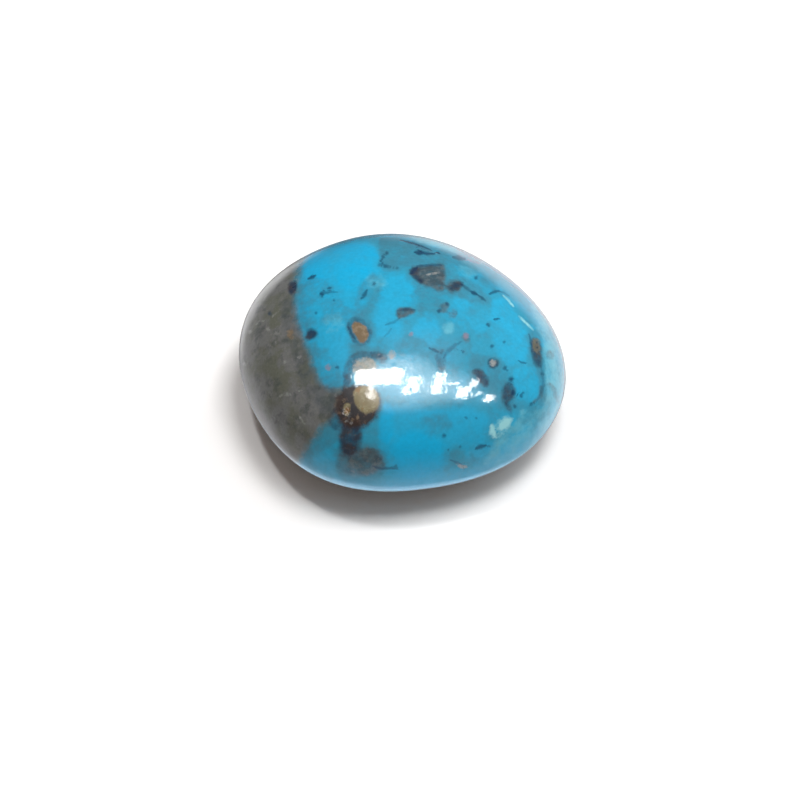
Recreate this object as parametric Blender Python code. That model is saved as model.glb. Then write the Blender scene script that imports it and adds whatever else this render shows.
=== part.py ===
"""A polished turquoise nugget: one solid stone with a high dome and a small ground base.

The stone is a freeform dome, about 20 mm long, 17.6 mm wide and 9.1 mm thick. Seen from above its
outline is an ellipse with a few slow swells, as a pebble has after grinding by hand. The widest
line, the girdle, runs round it about 3 mm above the base. The dome rises above the girdle, and the
keel tapers below it to a flat oval base, which the stone rests on. A few shallow hand-ground flats
run into the dome without an edge.

Units are metres, +Z is up, +X runs along the length, and the origin is under the middle of the
stone's box, on the base.
"""

import math

import bmesh
import bpy
from mathutils import Vector

MM = 0.001

NAME = "turquoise_nugget"

# Outline from above
HALF_LENGTH = 10.04 * MM
HALF_WIDTH = 8.77 * MM
OUTLINE_TURN = math.radians(-10.5)
# Slow swells of the outline: how many round the stone, how high, and the bearing of one crest
SWELLS = (
    (3, 0.197 * MM, math.radians(-1.1)),
    (4, 0.095 * MM, math.radians(-24.8)),
    (5, 0.050 * MM, math.radians(16.1)),
)

# Heights, from the base up
GIRDLE_HEIGHT = 3.15 * MM
GIRDLE_SLOPE = 0.20 * MM
GIRDLE_SLOPE_BEARING = math.radians(150.0)
DOME_HEIGHT = 6.00 * MM
KEEL_DEPTH = 3.75 * MM

# Profile fullness: 2 is an ellipse, and more is squarer in the shoulder
DOME_FULLNESS = 2.12
KEEL_FULLNESS = 2.05

# The top of the dome stands a little off the middle, to the back left
APEX_SHIFT = Vector((-0.25 * MM, 0.15 * MM, 0.0))

# Shallow hand-ground flats: bearing and rise of the middle, depth, and how far each one fades out
GROUND_FLATS = (
    (math.radians(142.0), math.radians(34.0), 0.30 * MM, math.radians(27.0)),
    (math.radians(18.0), math.radians(30.0), 0.22 * MM, math.radians(24.0)),
    (math.radians(-58.0), math.radians(20.0), 0.12 * MM, math.radians(22.0)),
    (math.radians(-150.0), math.radians(38.0), 0.10 * MM, math.radians(22.0)),
)

# Mesh
BALL_SUBDIVISIONS = 5
RIM_REACH = 0.04 * MM
RIM_HALVINGS = 40

# Turquoise: base colour, roughness and metallic value
STONE_COLOUR = (0.030, 0.400, 0.620, 1.0)
STONE_ROUGHNESS = 0.16
STONE_METALLIC = 0.0


def clear_scene():
    """Remove every object of the open scene."""
    for thing in list(bpy.data.objects):
        bpy.data.objects.remove(thing, do_unlink=True)


def make_collection(name):
    """Make a collection in the scene for the stone."""
    collection = bpy.data.collections.new(name)
    bpy.context.scene.collection.children.link(collection)
    return collection


def stone_material():
    """Polished turquoise in one plain colour."""
    material = bpy.data.materials.new("polished_turquoise")
    material.use_nodes = True
    shader = material.node_tree.nodes["Principled BSDF"]
    shader.inputs["Base Color"].default_value = STONE_COLOUR
    shader.inputs["Roughness"].default_value = STONE_ROUGHNESS
    shader.inputs["Metallic"].default_value = STONE_METALLIC
    material.diffuse_color = STONE_COLOUR
    return material


def direction(bearing, rise):
    """Unit vector at a bearing round the stone and a rise above the level."""
    level = math.cos(rise)
    return Vector((level * math.cos(bearing), level * math.sin(bearing), math.sin(rise)))


def outline_radius(bearing):
    """Distance from the middle to the girdle at a bearing."""
    along = math.cos(bearing - OUTLINE_TURN) / HALF_LENGTH
    across = math.sin(bearing - OUTLINE_TURN) / HALF_WIDTH
    radius = 1.0 / math.hypot(along, across)
    for count, height, crest in SWELLS:
        radius += height * math.cos(count * (bearing - crest))
    return radius


def ground_away(ray):
    """Depth that the hand-ground flats take off the stone along a ray from its middle."""
    depth = 0.0
    for bearing, rise, deepest, spread in GROUND_FLATS:
        apart = ray.angle(direction(bearing, rise))
        depth += deepest * math.exp(-((apart / spread) ** 2))
    return depth


def stone_point(ray):
    """Point of the stone's surface for a unit ray from the middle of the girdle.

    The profile is a superellipse: an upright half section of the dome above the girdle, and a
    shallower one of the keel below it.
    """
    bearing = math.atan2(ray.y, ray.x)
    level = math.hypot(ray.x, ray.y)
    above = ray.z >= 0.0
    fullness = DOME_FULLNESS if above else KEEL_FULLNESS
    height = DOME_HEIGHT if above else KEEL_DEPTH
    reach = (level**fullness + abs(ray.z) ** fullness) ** (-1.0 / fullness)

    out = outline_radius(bearing) * level * reach
    slope = GIRDLE_SLOPE * math.cos(bearing - GIRDLE_SLOPE_BEARING) * level * reach
    up = GIRDLE_HEIGHT + slope + height * ray.z * reach
    point = Vector((out * math.cos(bearing), out * math.sin(bearing), up))

    point += APEX_SHIFT * max(ray.z * reach, 0.0) ** 2
    return point - ray * ground_away(ray)


def base_rim_point(bearing):
    """Point where the keel meets the base plane at a bearing, found by halving the rise."""
    below, above = math.radians(-90.0), 0.0
    for _ in range(RIM_HALVINGS):
        rise = (below + above) / 2
        if stone_point(direction(bearing, rise)).z < 0.0:
            below = rise
        else:
            above = rise
    point = stone_point(direction(bearing, above))
    point.z = 0.0
    return point


def grind_base(mesh):
    """Cut the keel off level at the base plane and close the cut with one flat, sharp-edged face.

    Corners close to the plane slide along the keel onto its rim first, so the cut leaves no slivers.
    """
    for vert in mesh.verts:
        if abs(vert.co.z) < RIM_REACH:
            vert.co = base_rim_point(math.atan2(vert.co.y, vert.co.x))
    everything = mesh.verts[:] + mesh.edges[:] + mesh.faces[:]
    bmesh.ops.bisect_plane(
        mesh, geom=everything, dist=1e-7, plane_co=(0, 0, 0), plane_no=(0, 0, 1), clear_inner=True
    )
    rim = [edge for edge in mesh.edges if edge.is_boundary]
    bmesh.ops.edgeloop_fill(mesh, edges=rim)
    for edge in rim:
        edge.smooth = False


def centre_on_origin(mesh):
    """Move the stone sideways, so that the origin is under the middle of its box."""
    xs = [vert.co.x for vert in mesh.verts]
    ys = [vert.co.y for vert in mesh.verts]
    middle = Vector(((min(xs) + max(xs)) / 2, (min(ys) + max(ys)) / 2, 0.0))
    bmesh.ops.translate(mesh, verts=mesh.verts[:], vec=-middle)


def build_nugget(collection):
    """Shape a ball of even triangles into the stone and grind its base flat."""
    shape = bmesh.new()
    bmesh.ops.create_icosphere(shape, subdivisions=BALL_SUBDIVISIONS, radius=1.0)
    for vert in shape.verts:
        vert.co = stone_point(vert.co.normalized())
    for face in shape.faces:
        face.smooth = True
    grind_base(shape)
    centre_on_origin(shape)
    bmesh.ops.recalc_face_normals(shape, faces=shape.faces[:])

    mesh = bpy.data.meshes.new(NAME)
    shape.to_mesh(mesh)
    shape.free()
    mesh.materials.append(stone_material())

    nugget = bpy.data.objects.new(NAME, mesh)
    collection.objects.link(nugget)
    return nugget


def main():
    """Build the stone in an empty scene."""
    clear_scene()
    build_nugget(make_collection("polished_turquoise_nugget"))


main()
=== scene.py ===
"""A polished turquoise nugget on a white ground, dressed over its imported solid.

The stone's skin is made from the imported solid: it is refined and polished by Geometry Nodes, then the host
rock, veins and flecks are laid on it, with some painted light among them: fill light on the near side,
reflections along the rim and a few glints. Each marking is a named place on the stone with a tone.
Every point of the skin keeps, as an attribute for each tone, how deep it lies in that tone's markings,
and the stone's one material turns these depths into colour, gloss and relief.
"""

import logging
import math
from dataclasses import dataclass, field
from enum import Enum

import bmesh
import bpy
import numpy as np
from mathutils import Matrix, Vector


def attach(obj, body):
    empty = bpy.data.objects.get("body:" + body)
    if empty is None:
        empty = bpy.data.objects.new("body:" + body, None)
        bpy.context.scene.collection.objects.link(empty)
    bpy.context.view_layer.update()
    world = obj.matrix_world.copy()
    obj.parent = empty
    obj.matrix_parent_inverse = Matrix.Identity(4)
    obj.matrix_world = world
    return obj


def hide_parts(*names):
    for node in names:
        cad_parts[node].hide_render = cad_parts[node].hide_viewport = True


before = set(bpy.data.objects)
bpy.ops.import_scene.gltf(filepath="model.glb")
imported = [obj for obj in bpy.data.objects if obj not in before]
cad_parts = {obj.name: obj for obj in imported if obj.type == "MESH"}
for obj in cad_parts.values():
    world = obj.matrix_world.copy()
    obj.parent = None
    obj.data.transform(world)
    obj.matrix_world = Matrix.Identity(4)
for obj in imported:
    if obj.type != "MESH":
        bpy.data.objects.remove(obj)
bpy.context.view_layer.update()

logging.basicConfig(level=logging.INFO, format="%(message)s")
LOG = logging.getLogger("nugget")

MM = 0.001
NODE = "turquoise_nugget"
BODY = "root"
SKIN = "turquoise_nugget_skin"
MAP = "OFBake"

Pixel = tuple[float, float]
Colour = tuple[float, float, float]
PatchRow = tuple[str, float, float, *tuple[Pixel, ...]]
WideRow = tuple[str, float, float, float, *tuple[Pixel, ...]]
Socket = bpy.types.NodeSocket


class Tone(Enum):
    """What a marking is made of, and for some tones also the painted light it stands in for: painted fill,
    rim reflections and glints. The value names the attribute that carries it.
    """

    BRIGHT = "bright"
    # Deep blue, brighter than the clear cells, also used as painted fill light on the near side
    DEEP_AND_FILL_LIGHT = "deep"
    # Pale blue of the stone, also used for painted reflection along the right rim
    PALE_AND_SHEEN = "pale"
    HAZE = "haze"
    HOST = "host_rock"
    SLATE = "slate"
    SMOKE = "smoke"
    UMBER = "umber"
    OCHRE = "ochre"
    # Pinkish grey dots, also used for painted reflection at the back rim
    BLUSH_AND_SHEEN = "blush"
    GILT = "gilt"
    # Chalky white chips, also used for painted glints on the flank
    CHALK_AND_GLINT = "chalk"
    # Beige and grey grains, also used for a painted glint at the low pit
    GRIT_AND_GLINT = "grit"
    PORE = "pore"
    DENT = "dent"
    INK = "ink"


@dataclass(frozen=True)
class Patch:
    """A closed marking.

    Args:
        name: What the marking is.
        tone: What it is made of.
        outline: Its corners in order, on the aspect's plane.
        fade: Width of its soft edge, in millimetres.
        strength: How much of the tone it has in its middle, up to 1.
    """

    name: str
    tone: Tone
    outline: tuple[Pixel, ...]
    fade: float = 0.30
    strength: float = 1.0


@dataclass(frozen=True)
class Vein:
    """A line that tapers at both ends.

    Args:
        name: What the marking is.
        tone: What it is made of.
        width: Full width at its middle, in millimetres.
        path: Its points in order, on the aspect's plane.
        fade: Width of its soft edge, in millimetres.
        strength: How much of the tone it has in its middle, up to 1.
    """

    name: str
    tone: Tone
    width: float
    path: tuple[Pixel, ...]
    fade: float = 0.10
    strength: float = 1.0


@dataclass(frozen=True)
class Specks:
    """Round spots of one tone and size.

    Args:
        name: What the markings are.
        tone: What they are made of.
        width: Their diameter, in millimetres.
        spots: Their middles, on the aspect's plane.
        fade: Width of their soft edge, in millimetres.
        strength: How much of the tone they have in their middle, up to 1.
    """

    name: str
    tone: Tone
    width: float
    spots: tuple[Pixel, ...]
    fade: float = 0.12
    strength: float = 1.0


Mark = Patch | Vein | Specks


def patches(tone: Tone, *rows: PatchRow) -> tuple[Patch, ...]:
    """Make patches of one tone.

    Args:
        tone: What they are made of.
        rows: Name, soft width, strength and then the corners of each.

    Returns:
        The patches.
    """
    return tuple(Patch(name, tone, tuple(line), fade, part) for name, fade, part, *line in rows)


def veins(tone: Tone, *rows: WideRow) -> tuple[Vein, ...]:
    """Make veins of one tone.

    Args:
        tone: What they are made of.
        rows: Name, width, soft width, strength and then the points of each.

    Returns:
        The veins.
    """
    return tuple(Vein(name, tone, wide, tuple(line), fade, part) for name, wide, fade, part, *line in rows)


def specks(tone: Tone, *rows: WideRow) -> tuple[Specks, ...]:
    """Make specks of one tone.

    Args:
        tone: What they are made of.
        rows: Name, width, soft width, strength and then the middles of each.

    Returns:
        The specks.
    """
    return tuple(Specks(name, tone, wide, tuple(line), fade, part) for name, wide, fade, part, *line in rows)


@dataclass(frozen=True)
class CameraPlace:
    """Where the photo was taken from, and how large a millimetre is on it.

    Args:
        elevation: Height of the view above the level, in degrees.
        distance: From the lens to the aim, in metres.
        pixels_per_mm: Picture scale at the aim.
        aim: The point that lands on the middle of the picture, in metres.
        side: Side of the square picture, in pixels.
        sensor: Sensor width, in millimetres.
    """

    elevation: float = 55.0
    distance: float = 0.240
    pixels_per_mm: float = 16.45
    aim: tuple[float, float, float] = (-0.00013, -0.00214, 0.00254)
    side: float = 800.0
    sensor: float = 36.0

    def axes(self) -> tuple[np.ndarray, np.ndarray, np.ndarray]:
        """Unit vectors to the right, up and away in the picture.

        Returns:
            The three vectors, in that order.
        """
        tilt = math.radians(self.elevation)
        right = np.array((1.0, 0.0, 0.0))
        up = np.array((0.0, math.sin(tilt), math.cos(tilt)))
        away = np.array((0.0, math.cos(tilt), -math.sin(tilt)))
        return right, up, away

    def eye(self) -> np.ndarray:
        """Place of the lens, in metres."""
        return np.array(self.aim) - self.axes()[2] * self.distance

    def lens(self) -> float:
        """Focal length that gives the picture its scale, in millimetres."""
        field_mm = self.side / self.pixels_per_mm
        return self.sensor * self.distance / MM / field_mm

    def flatten(self, points: np.ndarray) -> np.ndarray:
        """Place points of the stone on the picture.

        Args:
            points: Points in metres, one a row.

        Returns:
            Their pixels, one a row.
        """
        right, up, away = self.axes()
        ray = points - self.eye()
        scale = self.pixels_per_mm / MM * self.distance / (ray @ away)
        across = self.side / 2 + scale * (ray @ right)
        down = self.side / 2 - scale * (ray @ up)
        return np.stack((across, down), axis=1)


PHOTO = CameraPlace()


@dataclass(frozen=True)
class Aspect:
    """One side of the stone with the markings that lie on it.

    The marks of the side in the photo are placed in its pixels. Those of the other sides are placed in
    millimetres right of and above the stone's middle, as that side is looked at.

    Args:
        name: Which side it is.
        azimuth: Where it is looked at from, in degrees. 0 looks along +Y.
        elevation: Height of that view above the level, in degrees.
        marks: The markings on it.
        pixels_per_mm: 1, or the photo's scale for the side in the photo.
        wrap: How fast a marking fades past the side's edge, in millimetres for a right angle.
    """

    name: str
    azimuth: float
    elevation: float
    marks: tuple[Mark, ...]
    pixels_per_mm: float = 1.0
    wrap: float = 5.0

    def towards(self) -> np.ndarray:
        """Unit vector from the stone to whoever looks at this side."""
        turn, rise = math.radians(self.azimuth), math.radians(self.elevation)
        level = math.cos(rise)
        return np.array((math.sin(turn) * level, -math.cos(turn) * level, math.sin(rise)))

    def flatten(self, points: np.ndarray) -> np.ndarray:
        """Place points of the stone on this side's plane.

        Args:
            points: Points in metres, one a row.

        Returns:
            Their places, one a row: pixels for the side in the photo, or else millimetres.
        """
        if self.pixels_per_mm != 1.0:
            return PHOTO.flatten(points)
        turn, rise = math.radians(self.azimuth), math.radians(self.elevation)
        right = np.array((math.cos(turn), math.sin(turn), 0.0))
        up = np.cross(self.towards(), right)
        return np.stack((points @ right, points @ up), axis=1) / MM


def rounded(points: tuple[Pixel, ...], closed: bool, rounds: int = 2, cut: float = 0.25) -> np.ndarray:
    """Cut the corners of a line until it looks drawn by hand.

    Args:
        points: The line's points.
        closed: Whether the last point joins the first.
        rounds: How many times each corner is cut.
        cut: How much of a side each cut takes off at either end.

    Returns:
        The rounder line's points, one a row.
    """
    line = np.array(points, dtype=float)
    for _ in range(rounds):
        if len(line) < 3:
            break
        after = np.roll(line, -1, axis=0)
        near, far = line * (1 - cut) + after * cut, line * cut + after * (1 - cut)
        ends = np.stack((near, far), axis=1).reshape(-1, 2)
        line = ends if closed else np.vstack((line[:1], ends[1:-3], line[-1:]))
    return line


def nearest_on_line(places: np.ndarray, line: np.ndarray, closed: bool) -> tuple[np.ndarray, np.ndarray]:
    """Find the nearest point of a line for many places.

    Args:
        places: The places, one a row.
        line: The line's points, one a row.
        closed: Whether the last point joins the first.

    Returns:
        The way from the nearest point to each place, and how far along the line that point is, from
        0 to 1.
    """
    starts = line if closed else line[:-1]
    ends = np.roll(line, -1, axis=0) if closed else line[1:]
    runs = np.linalg.norm(ends - starts, axis=1)
    before = np.concatenate(((0.0,), np.cumsum(runs)))
    best = np.full(len(places), np.inf)
    offset = np.zeros_like(places)
    along = np.zeros(len(places))
    for start, end, run, done in zip(starts, ends, runs, before):
        step = end - start
        part = np.clip((places - start) @ step / max(run * run, 1e-12), 0.0, 1.0)
        way = places - (start + part[:, None] * step)
        gap = np.einsum("ij,ij->i", way, way)
        closer = gap < best
        best = np.where(closer, gap, best)
        offset[closer] = way[closer]
        along = np.where(closer, (done + part * run) / max(before[-1], 1e-12), along)
    return offset, along


def is_inside(places: np.ndarray, line: np.ndarray) -> np.ndarray:
    """Tell which places are inside a closed line.

    Args:
        places: The places, one a row.
        line: The line's corners, one a row.

    Returns:
        True for each place inside.
    """
    inside = np.zeros(len(places), dtype=bool)
    across, up = places[:, 0], places[:, 1]
    for (ax, ay), (bx, by) in zip(line, np.roll(line, -1, axis=0)):
        if ay == by:
            continue
        spans = (ay > up) != (by > up)
        inside ^= spans & (across < (bx - ax) * (up - ay) / (by - ay) + ax)
    return inside


FRONT_MARKS: tuple[Mark, ...] = (
    # Clear blue cells
    *patches(
        Tone.BRIGHT,
        ("large left cell", 0.5, 1.0, (300, 262), (315, 250), (340, 243), (372, 240), (380, 252),
         (379, 270), (376, 284), (368, 300), (358, 314), (346, 322), (346, 345), (347, 362), (344, 380),
         (334, 389), (325, 386), (317, 372), (311, 352), (306, 338), (298, 322), (296, 300), (298, 280)),
        ("middle cell", 0.55, 1.0, (384, 276), (400, 272), (412, 280), (418, 292), (416, 304), (398, 308),
         (396, 318), (404, 328), (400, 342), (384, 340), (374, 330), (374, 312), (378, 294)),
        ("cell under the five-sided inclusion", 0.5, 0.9, (418, 318), (432, 314), (440, 324), (440, 338),
         (428, 346), (416, 340), (414, 328)),
        ("back right cell", 0.5, 0.3, (455, 264), (470, 268), (482, 280), (482, 288), (474, 286),
         (462, 276)),
        ("right shoulder cell", 0.6, 0.45, (456, 298), (470, 298), (484, 306), (490, 318), (484, 330),
         (470, 332), (458, 322), (452, 310)),
        ("tall right cell", 0.45, 0.85, (492, 300), (506, 300), (518, 316), (528, 334), (530, 352),
         (524, 362), (508, 366), (498, 356), (494, 338), (490, 320)),
        ("low right cell", 0.4, 0.75, (514, 368), (530, 366), (540, 372), (543, 386), (538, 398),
         (526, 402), (516, 396), (513, 382)),
        ("wide lower cell", 0.7, 1.0, (384, 404), (410, 410), (440, 408), (470, 408), (490, 414),
         (486, 430), (484, 442), (460, 446), (444, 448), (440, 466), (428, 480), (402, 480), (394, 464),
         (388, 440), (382, 420)),
        ("low left cell", 0.6, 0.5, (316, 448), (326, 436), (336, 438), (338, 452), (334, 468), (322, 470),
         (314, 462)),
        ("near cell", 0.8, 0.9, (376, 444), (396, 436), (440, 440), (446, 470), (480, 468), (478, 482),
         (420, 492), (380, 490), (384, 470)),
        ("cell beside the chip", 0.6, 0.85, (462, 436), (488, 442), (500, 446), (514, 430), (530, 424),
         (528, 448), (500, 466), (476, 470), (460, 452)),
    ),
    # Deeper blue; the near side's patch is also painted fill light, brighter than the top to make up for its
    # shade
    *patches(
        Tone.DEEP_AND_FILL_LIGHT,
        ("deep blue of the left shoulder", 0.9, 0.8, (300, 264), (314, 252), (330, 256), (332, 270),
         (322, 284), (302, 286)),
        ("deep blue beside the host rock", 0.6, 0.6, (296, 300), (306, 300), (310, 318), (304, 330),
         (297, 320)),
        # Painted fill light: the near flank is made brighter than the top to make up for the shade it gets
        ("deep blue of the near side", 1.0, 0.95, (392, 436), (416, 428), (440, 440), (446, 468),
         (424, 484), (396, 478)),
        ("deep blue beside the gilt", 0.6, 0.8, (381, 404), (392, 404), (396, 430), (388, 444), (378, 436)),
        ("deep blue of the top left", 0.9, 0.6, (334, 246), (372, 243), (374, 262), (370, 284), (344, 290),
         (330, 270)),
    ),
    # Haze
    *patches(
        Tone.HAZE,
        ("haze under the back rim", 0.3, 0.85, (380, 234), (379, 254), (379, 271), (398, 271), (412, 266),
         (440, 264), (466, 268), (470, 262), (452, 252), (430, 246), (404, 240)),
        ("haze beside the ink stroke", 0.6, 0.5, (366, 276), (381, 280), (380, 298), (368, 312), (355, 312),
         (360, 294)),
        ("haze below the five-sided inclusion", 0.6, 0.5, (414, 284), (436, 290), (448, 298), (442, 318),
         (426, 318), (415, 306)),
        ("haze round the five-sided inclusion", 0.5, 0.7, (404, 274), (416, 262), (450, 262), (452, 290),
         (440, 298), (416, 290)),
        ("haze of the shoulder vein", 0.5, 0.75, (446, 276), (462, 275), (482, 290), (492, 302), (478, 304),
         (460, 298), (446, 293)),
        ("haze over the highlight", 0.6, 0.35, (396, 342), (412, 336), (428, 346), (446, 344), (466, 338),
         (470, 348), (456, 362), (442, 376), (424, 354), (398, 354)),
        ("haze of the right shoulder", 0.6, 0.8, (466, 360), (486, 352), (504, 364), (510, 384), (518, 404),
         (508, 414), (496, 402), (482, 394), (470, 380)),
        ("haze of the right flank", 0.4, 0.75, (526, 330), (540, 330), (543, 352), (543, 372), (546, 394),
         (544, 408), (536, 406), (541, 382), (534, 366), (528, 350)),
        ("haze of the low right", 0.7, 0.3, (514, 404), (540, 402), (550, 404), (544, 418), (530, 424),
         (514, 418)),
        ("haze round the low pit", 0.7, 0.25, (444, 456), (456, 452), (472, 456), (474, 468), (462, 474),
         (448, 472)),
        ("haze under the kite", 0.5, 0.75, (350, 342), (364, 346), (384, 350), (390, 358), (368, 360),
         (350, 356)),
        ("haze beside the kite", 0.5, 0.6, (340, 308), (352, 310), (368, 316), (374, 330), (372, 344),
         (366, 330), (352, 318), (344, 326)),
        ("haze of the back right", 0.6, 0.5, (448, 256), (474, 262), (496, 276), (498, 288), (486, 286),
         (470, 272), (452, 268)),
        ("haze at the left cell's tip", 0.5, 0.5, (318, 364), (328, 362), (340, 368), (342, 384),
         (334, 396), (324, 390)),
        ("haze in the lower cell", 0.6, 0.45, (424, 418), (442, 413), (452, 424), (440, 434), (424, 432)),
        ("haze at the smoke stem", 0.5, 0.8, (320, 426), (334, 415), (346, 422), (344, 448), (338, 436),
         (326, 434)),
        ("haze at the low left", 0.6, 0.8, (302, 452), (312, 442), (314, 462), (320, 476), (344, 480),
         (346, 490), (322, 490), (298, 470)),
        ("haze round the low inclusion", 0.6, 0.65, (336, 452), (344, 444), (372, 442), (382, 454),
         (386, 474), (360, 484), (338, 480)),
        ("haze over the low left cell", 0.6, 0.75, (312, 442), (326, 422), (340, 416), (344, 436),
         (334, 444), (318, 456)),
        ("haze of the left cell's foot", 0.6, 0.35, (316, 352), (326, 350), (336, 372), (338, 388),
         (328, 390), (320, 376)),
        ("teal of the left cell", 1.0, 0.35, (300, 282), (318, 280), (336, 292), (340, 312), (326, 326),
         (306, 320)),
    ),
    *veins(
        Tone.HAZE,
        ("haze along the host rock", 0.9, 0.7, 0.75, (300, 262), (297, 282), (298, 304), (301, 322),
         (309, 344), (316, 366), (328, 386), (338, 396)),
    ),
    # Pale blue, and painted reflection along the right rim
    *patches(
        Tone.PALE_AND_SHEEN,
        ("pale blue behind the back rim vein", 0.3, 0.9, (404, 230), (430, 232), (452, 240), (480, 254),
         (494, 264), (480, 264), (460, 256), (438, 248), (412, 240)),
        # Painted reflection: the pale band along the right rim
        ("pale right edge", 0.6, 0.6, (530, 300), (548, 320), (564, 350), (572, 376), (564, 404),
         (548, 432), (516, 460), (500, 462), (524, 432), (546, 406), (554, 378), (550, 346), (540, 324)),
        ("pale green spot of the right edge", 0.35, 0.8, (546, 396), (552, 388), (558, 398), (554, 408),
         (546, 408)),
        ("pale blue under the chip", 0.7, 0.65, (492, 448), (504, 440), (514, 422), (534, 410), (548, 418),
         (528, 456), (500, 470), (486, 462)),
        # Painted reflection on the right flank, over pale blue
        ("pale blue of the right flank", 0.5, 0.75, (540, 346), (552, 344), (560, 372), (556, 402),
         (545, 410), (544, 392), (547, 372)),
    ),
    *specks(
        Tone.PALE_AND_SHEEN,
        ("pale blue spot", 0.6, 0.4, 0.7, (449, 328)),
        ("pale green clouds", 0.9, 0.6, 0.4, (334, 322), (377, 281), (470, 268)),
        ("small pale spot", 0.35, 0.2, 0.8, (524, 412)),
    ),
    # Host rock
    *patches(
        Tone.HOST,
        ("host rock of the left end", 0.7, 1.0, (312, 246), (302, 260), (297, 268), (295, 282), (294, 305),
         (296, 322), (302, 334), (305, 345), (308, 352), (313, 366), (317, 378), (322, 386), (332, 390),
         (343, 390), (342, 404), (337, 416), (324, 425), (318, 433), (311, 442), (305, 453), (293, 470),
         (262, 482), (222, 455), (212, 350), (240, 280), (280, 246)),
        ("host rock in the low inclusion", 0.7, 0.45, (350, 456), (360, 451), (373, 451), (382, 458),
         (380, 467), (364, 474), (350, 472)),
    ),
    # Grey inclusions
    *patches(
        Tone.SLATE,
        ("five-sided inclusion", 0.34, 0.97, (409, 273), (412, 268), (416, 266), (430, 265), (442, 264),
         (445, 267), (445, 278), (445, 289), (442, 291), (434, 290), (427, 287), (418, 281)),
        ("inclusion beside it", 0.34, 0.8, (446, 287), (450, 281), (459, 280), (464, 285), (458, 291),
         (449, 292)),
        ("low inclusion", 0.7, 0.72, (338, 462), (346, 452), (358, 449), (372, 450), (382, 456), (384, 466),
         (374, 472), (356, 476), (342, 474)),
        ("small grey inclusion", 0.28, 0.88, (396, 317), (397, 309), (407, 307), (417, 310), (412, 314),
         (403, 318)),
        ("faint grey inclusion", 0.32, 0.55, (437, 311), (441, 305), (449, 303), (449, 308), (444, 312)),
        ("dark edge of the host rock", 0.7, 0.4, (285, 300), (293, 298), (296, 322), (303, 338), (302, 352),
         (311, 368), (317, 384), (330, 394), (338, 402), (334, 412), (316, 402), (304, 388), (297, 362),
         (288, 340), (284, 320)),
        ("dark corner of the host rock", 0.6, 0.7, (318, 386), (332, 388), (342, 392), (340, 412),
         (330, 418), (320, 410), (314, 396)),
    ),
    *veins(
        Tone.SLATE,
        ("outer grey arc", 0.22, 0.24, 0.35, (549, 384), (555, 391), (558, 402)),
        ("grey web at the right edge", 0.2, 0.24, 0.45, (541, 386), (542, 396), (534, 402)),
    ),
    *specks(
        Tone.SLATE,
        ("faint grey spots", 0.42, 0.35, 0.45, (453, 314), (550, 355), (466, 338)),
    ),
    # Smoke
    *patches(
        Tone.SMOKE,
        ("smoke on the host rock's edge", 0.2, 1.0, (288, 286), (291, 281), (297, 281), (297, 290),
         (292, 296), (288, 292)),
        ("smoke beside the rust", 0.3, 1.0, (305, 333), (310, 328), (318, 331), (317, 337), (309, 341),
         (305, 340)),
        ("smoke stem", 0.5, 0.96, (342, 418), (360, 418), (362, 434), (358, 448), (356, 456), (346, 458),
         (340, 450), (340, 434)),
        ("smoke under the umber", 0.4, 0.6, (328, 412), (340, 408), (346, 424), (340, 432), (330, 426)),
        ("smoke round the kite", 0.35, 0.55, (347, 324), (351, 318), (362, 318), (369, 326), (373, 338),
         (363, 346), (355, 344), (348, 332)),
        ("smoke at the inclusion's tip", 0.25, 0.8, (408, 272), (413, 267), (420, 267), (418, 275),
         (424, 284), (416, 282)),
        ("smoke in the inclusion beside it", 0.25, 0.8, (447, 288), (452, 284), (461, 280), (464, 285),
         (455, 291)),
        ("smoke on the right shoulder", 0.28, 0.85, (470, 372), (476, 369), (485, 371), (489, 380),
         (488, 388), (482, 387), (478, 378)),
        ("smoke on the right flank", 0.4, 0.8, (501, 394), (505, 384), (511, 380), (515, 388), (514, 398),
         (508, 402), (513, 416), (506, 408)),
        ("smoke of the olive streak", 0.4, 0.9, (531, 338), (539, 339), (541, 352), (542, 366), (536, 368),
         (531, 352)),
        ("smoke over the highlight", 0.35, 0.45, (436, 352), (444, 350), (446, 362), (441, 374),
         (437, 364)),
        ("smoke over the highlight's left end", 0.35, 0.55, (343, 388), (344, 370), (350, 356), (362, 351),
         (378, 353), (388, 357), (384, 364), (376, 358), (362, 356), (353, 364), (350, 386)),
    ),
    *specks(
        Tone.SMOKE,
        ("beige dot's ring", 0.66, 0.2, 0.75, (493, 363)),
    ),
    # Umber
    *patches(
        Tone.UMBER,
        ("umber round the gilt", 0.46, 1.0, (335, 398), (343, 387), (352, 384), (364, 385), (376, 388),
         (381, 398), (380, 411), (374, 421), (364, 428), (350, 430), (340, 424), (335, 412)),
        ("umber of the low inclusion", 0.35, 0.2, (362, 450), (376, 450), (383, 458), (374, 463),
         (363, 459)),
        ("umber of the smoke stem", 0.5, 0.35, (343, 422), (360, 422), (360, 440), (355, 452), (344, 450),
         (341, 436)),
    ),
    # Ochre
    *patches(
        Tone.OCHRE,
        ("kite", 0.16, 1.0, (351, 325), (355, 321), (363, 324), (368, 330), (369, 337), (362, 345),
         (357, 339), (353, 332)),
        ("rust on the host rock", 0.25, 0.75, (287, 334), (290, 328), (294, 332), (292, 339), (288, 338)),
    ),
    *specks(
        Tone.OCHRE,
        ("amber grains in the umber", 0.18, 0.15, 0.4, (344, 401), (352, 420), (358, 418)),
    ),
    # Blush, and painted pinkish reflection at the back rim
    *patches(
        Tone.BLUSH_AND_SHEEN,
        # Painted reflection: pinkish grey along the back rim
        ("blush at the back rim", 0.4, 0.4, (456, 249), (466, 251), (482, 261), (478, 263), (464, 258)),
    ),
    *specks(
        Tone.BLUSH_AND_SHEEN,
        ("blush dots", 0.34, 0.2, 0.7, (466, 336), (328, 367)),
        ("pale dot", 0.24, 0.12, 0.9, (411, 334)),
    ),
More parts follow.
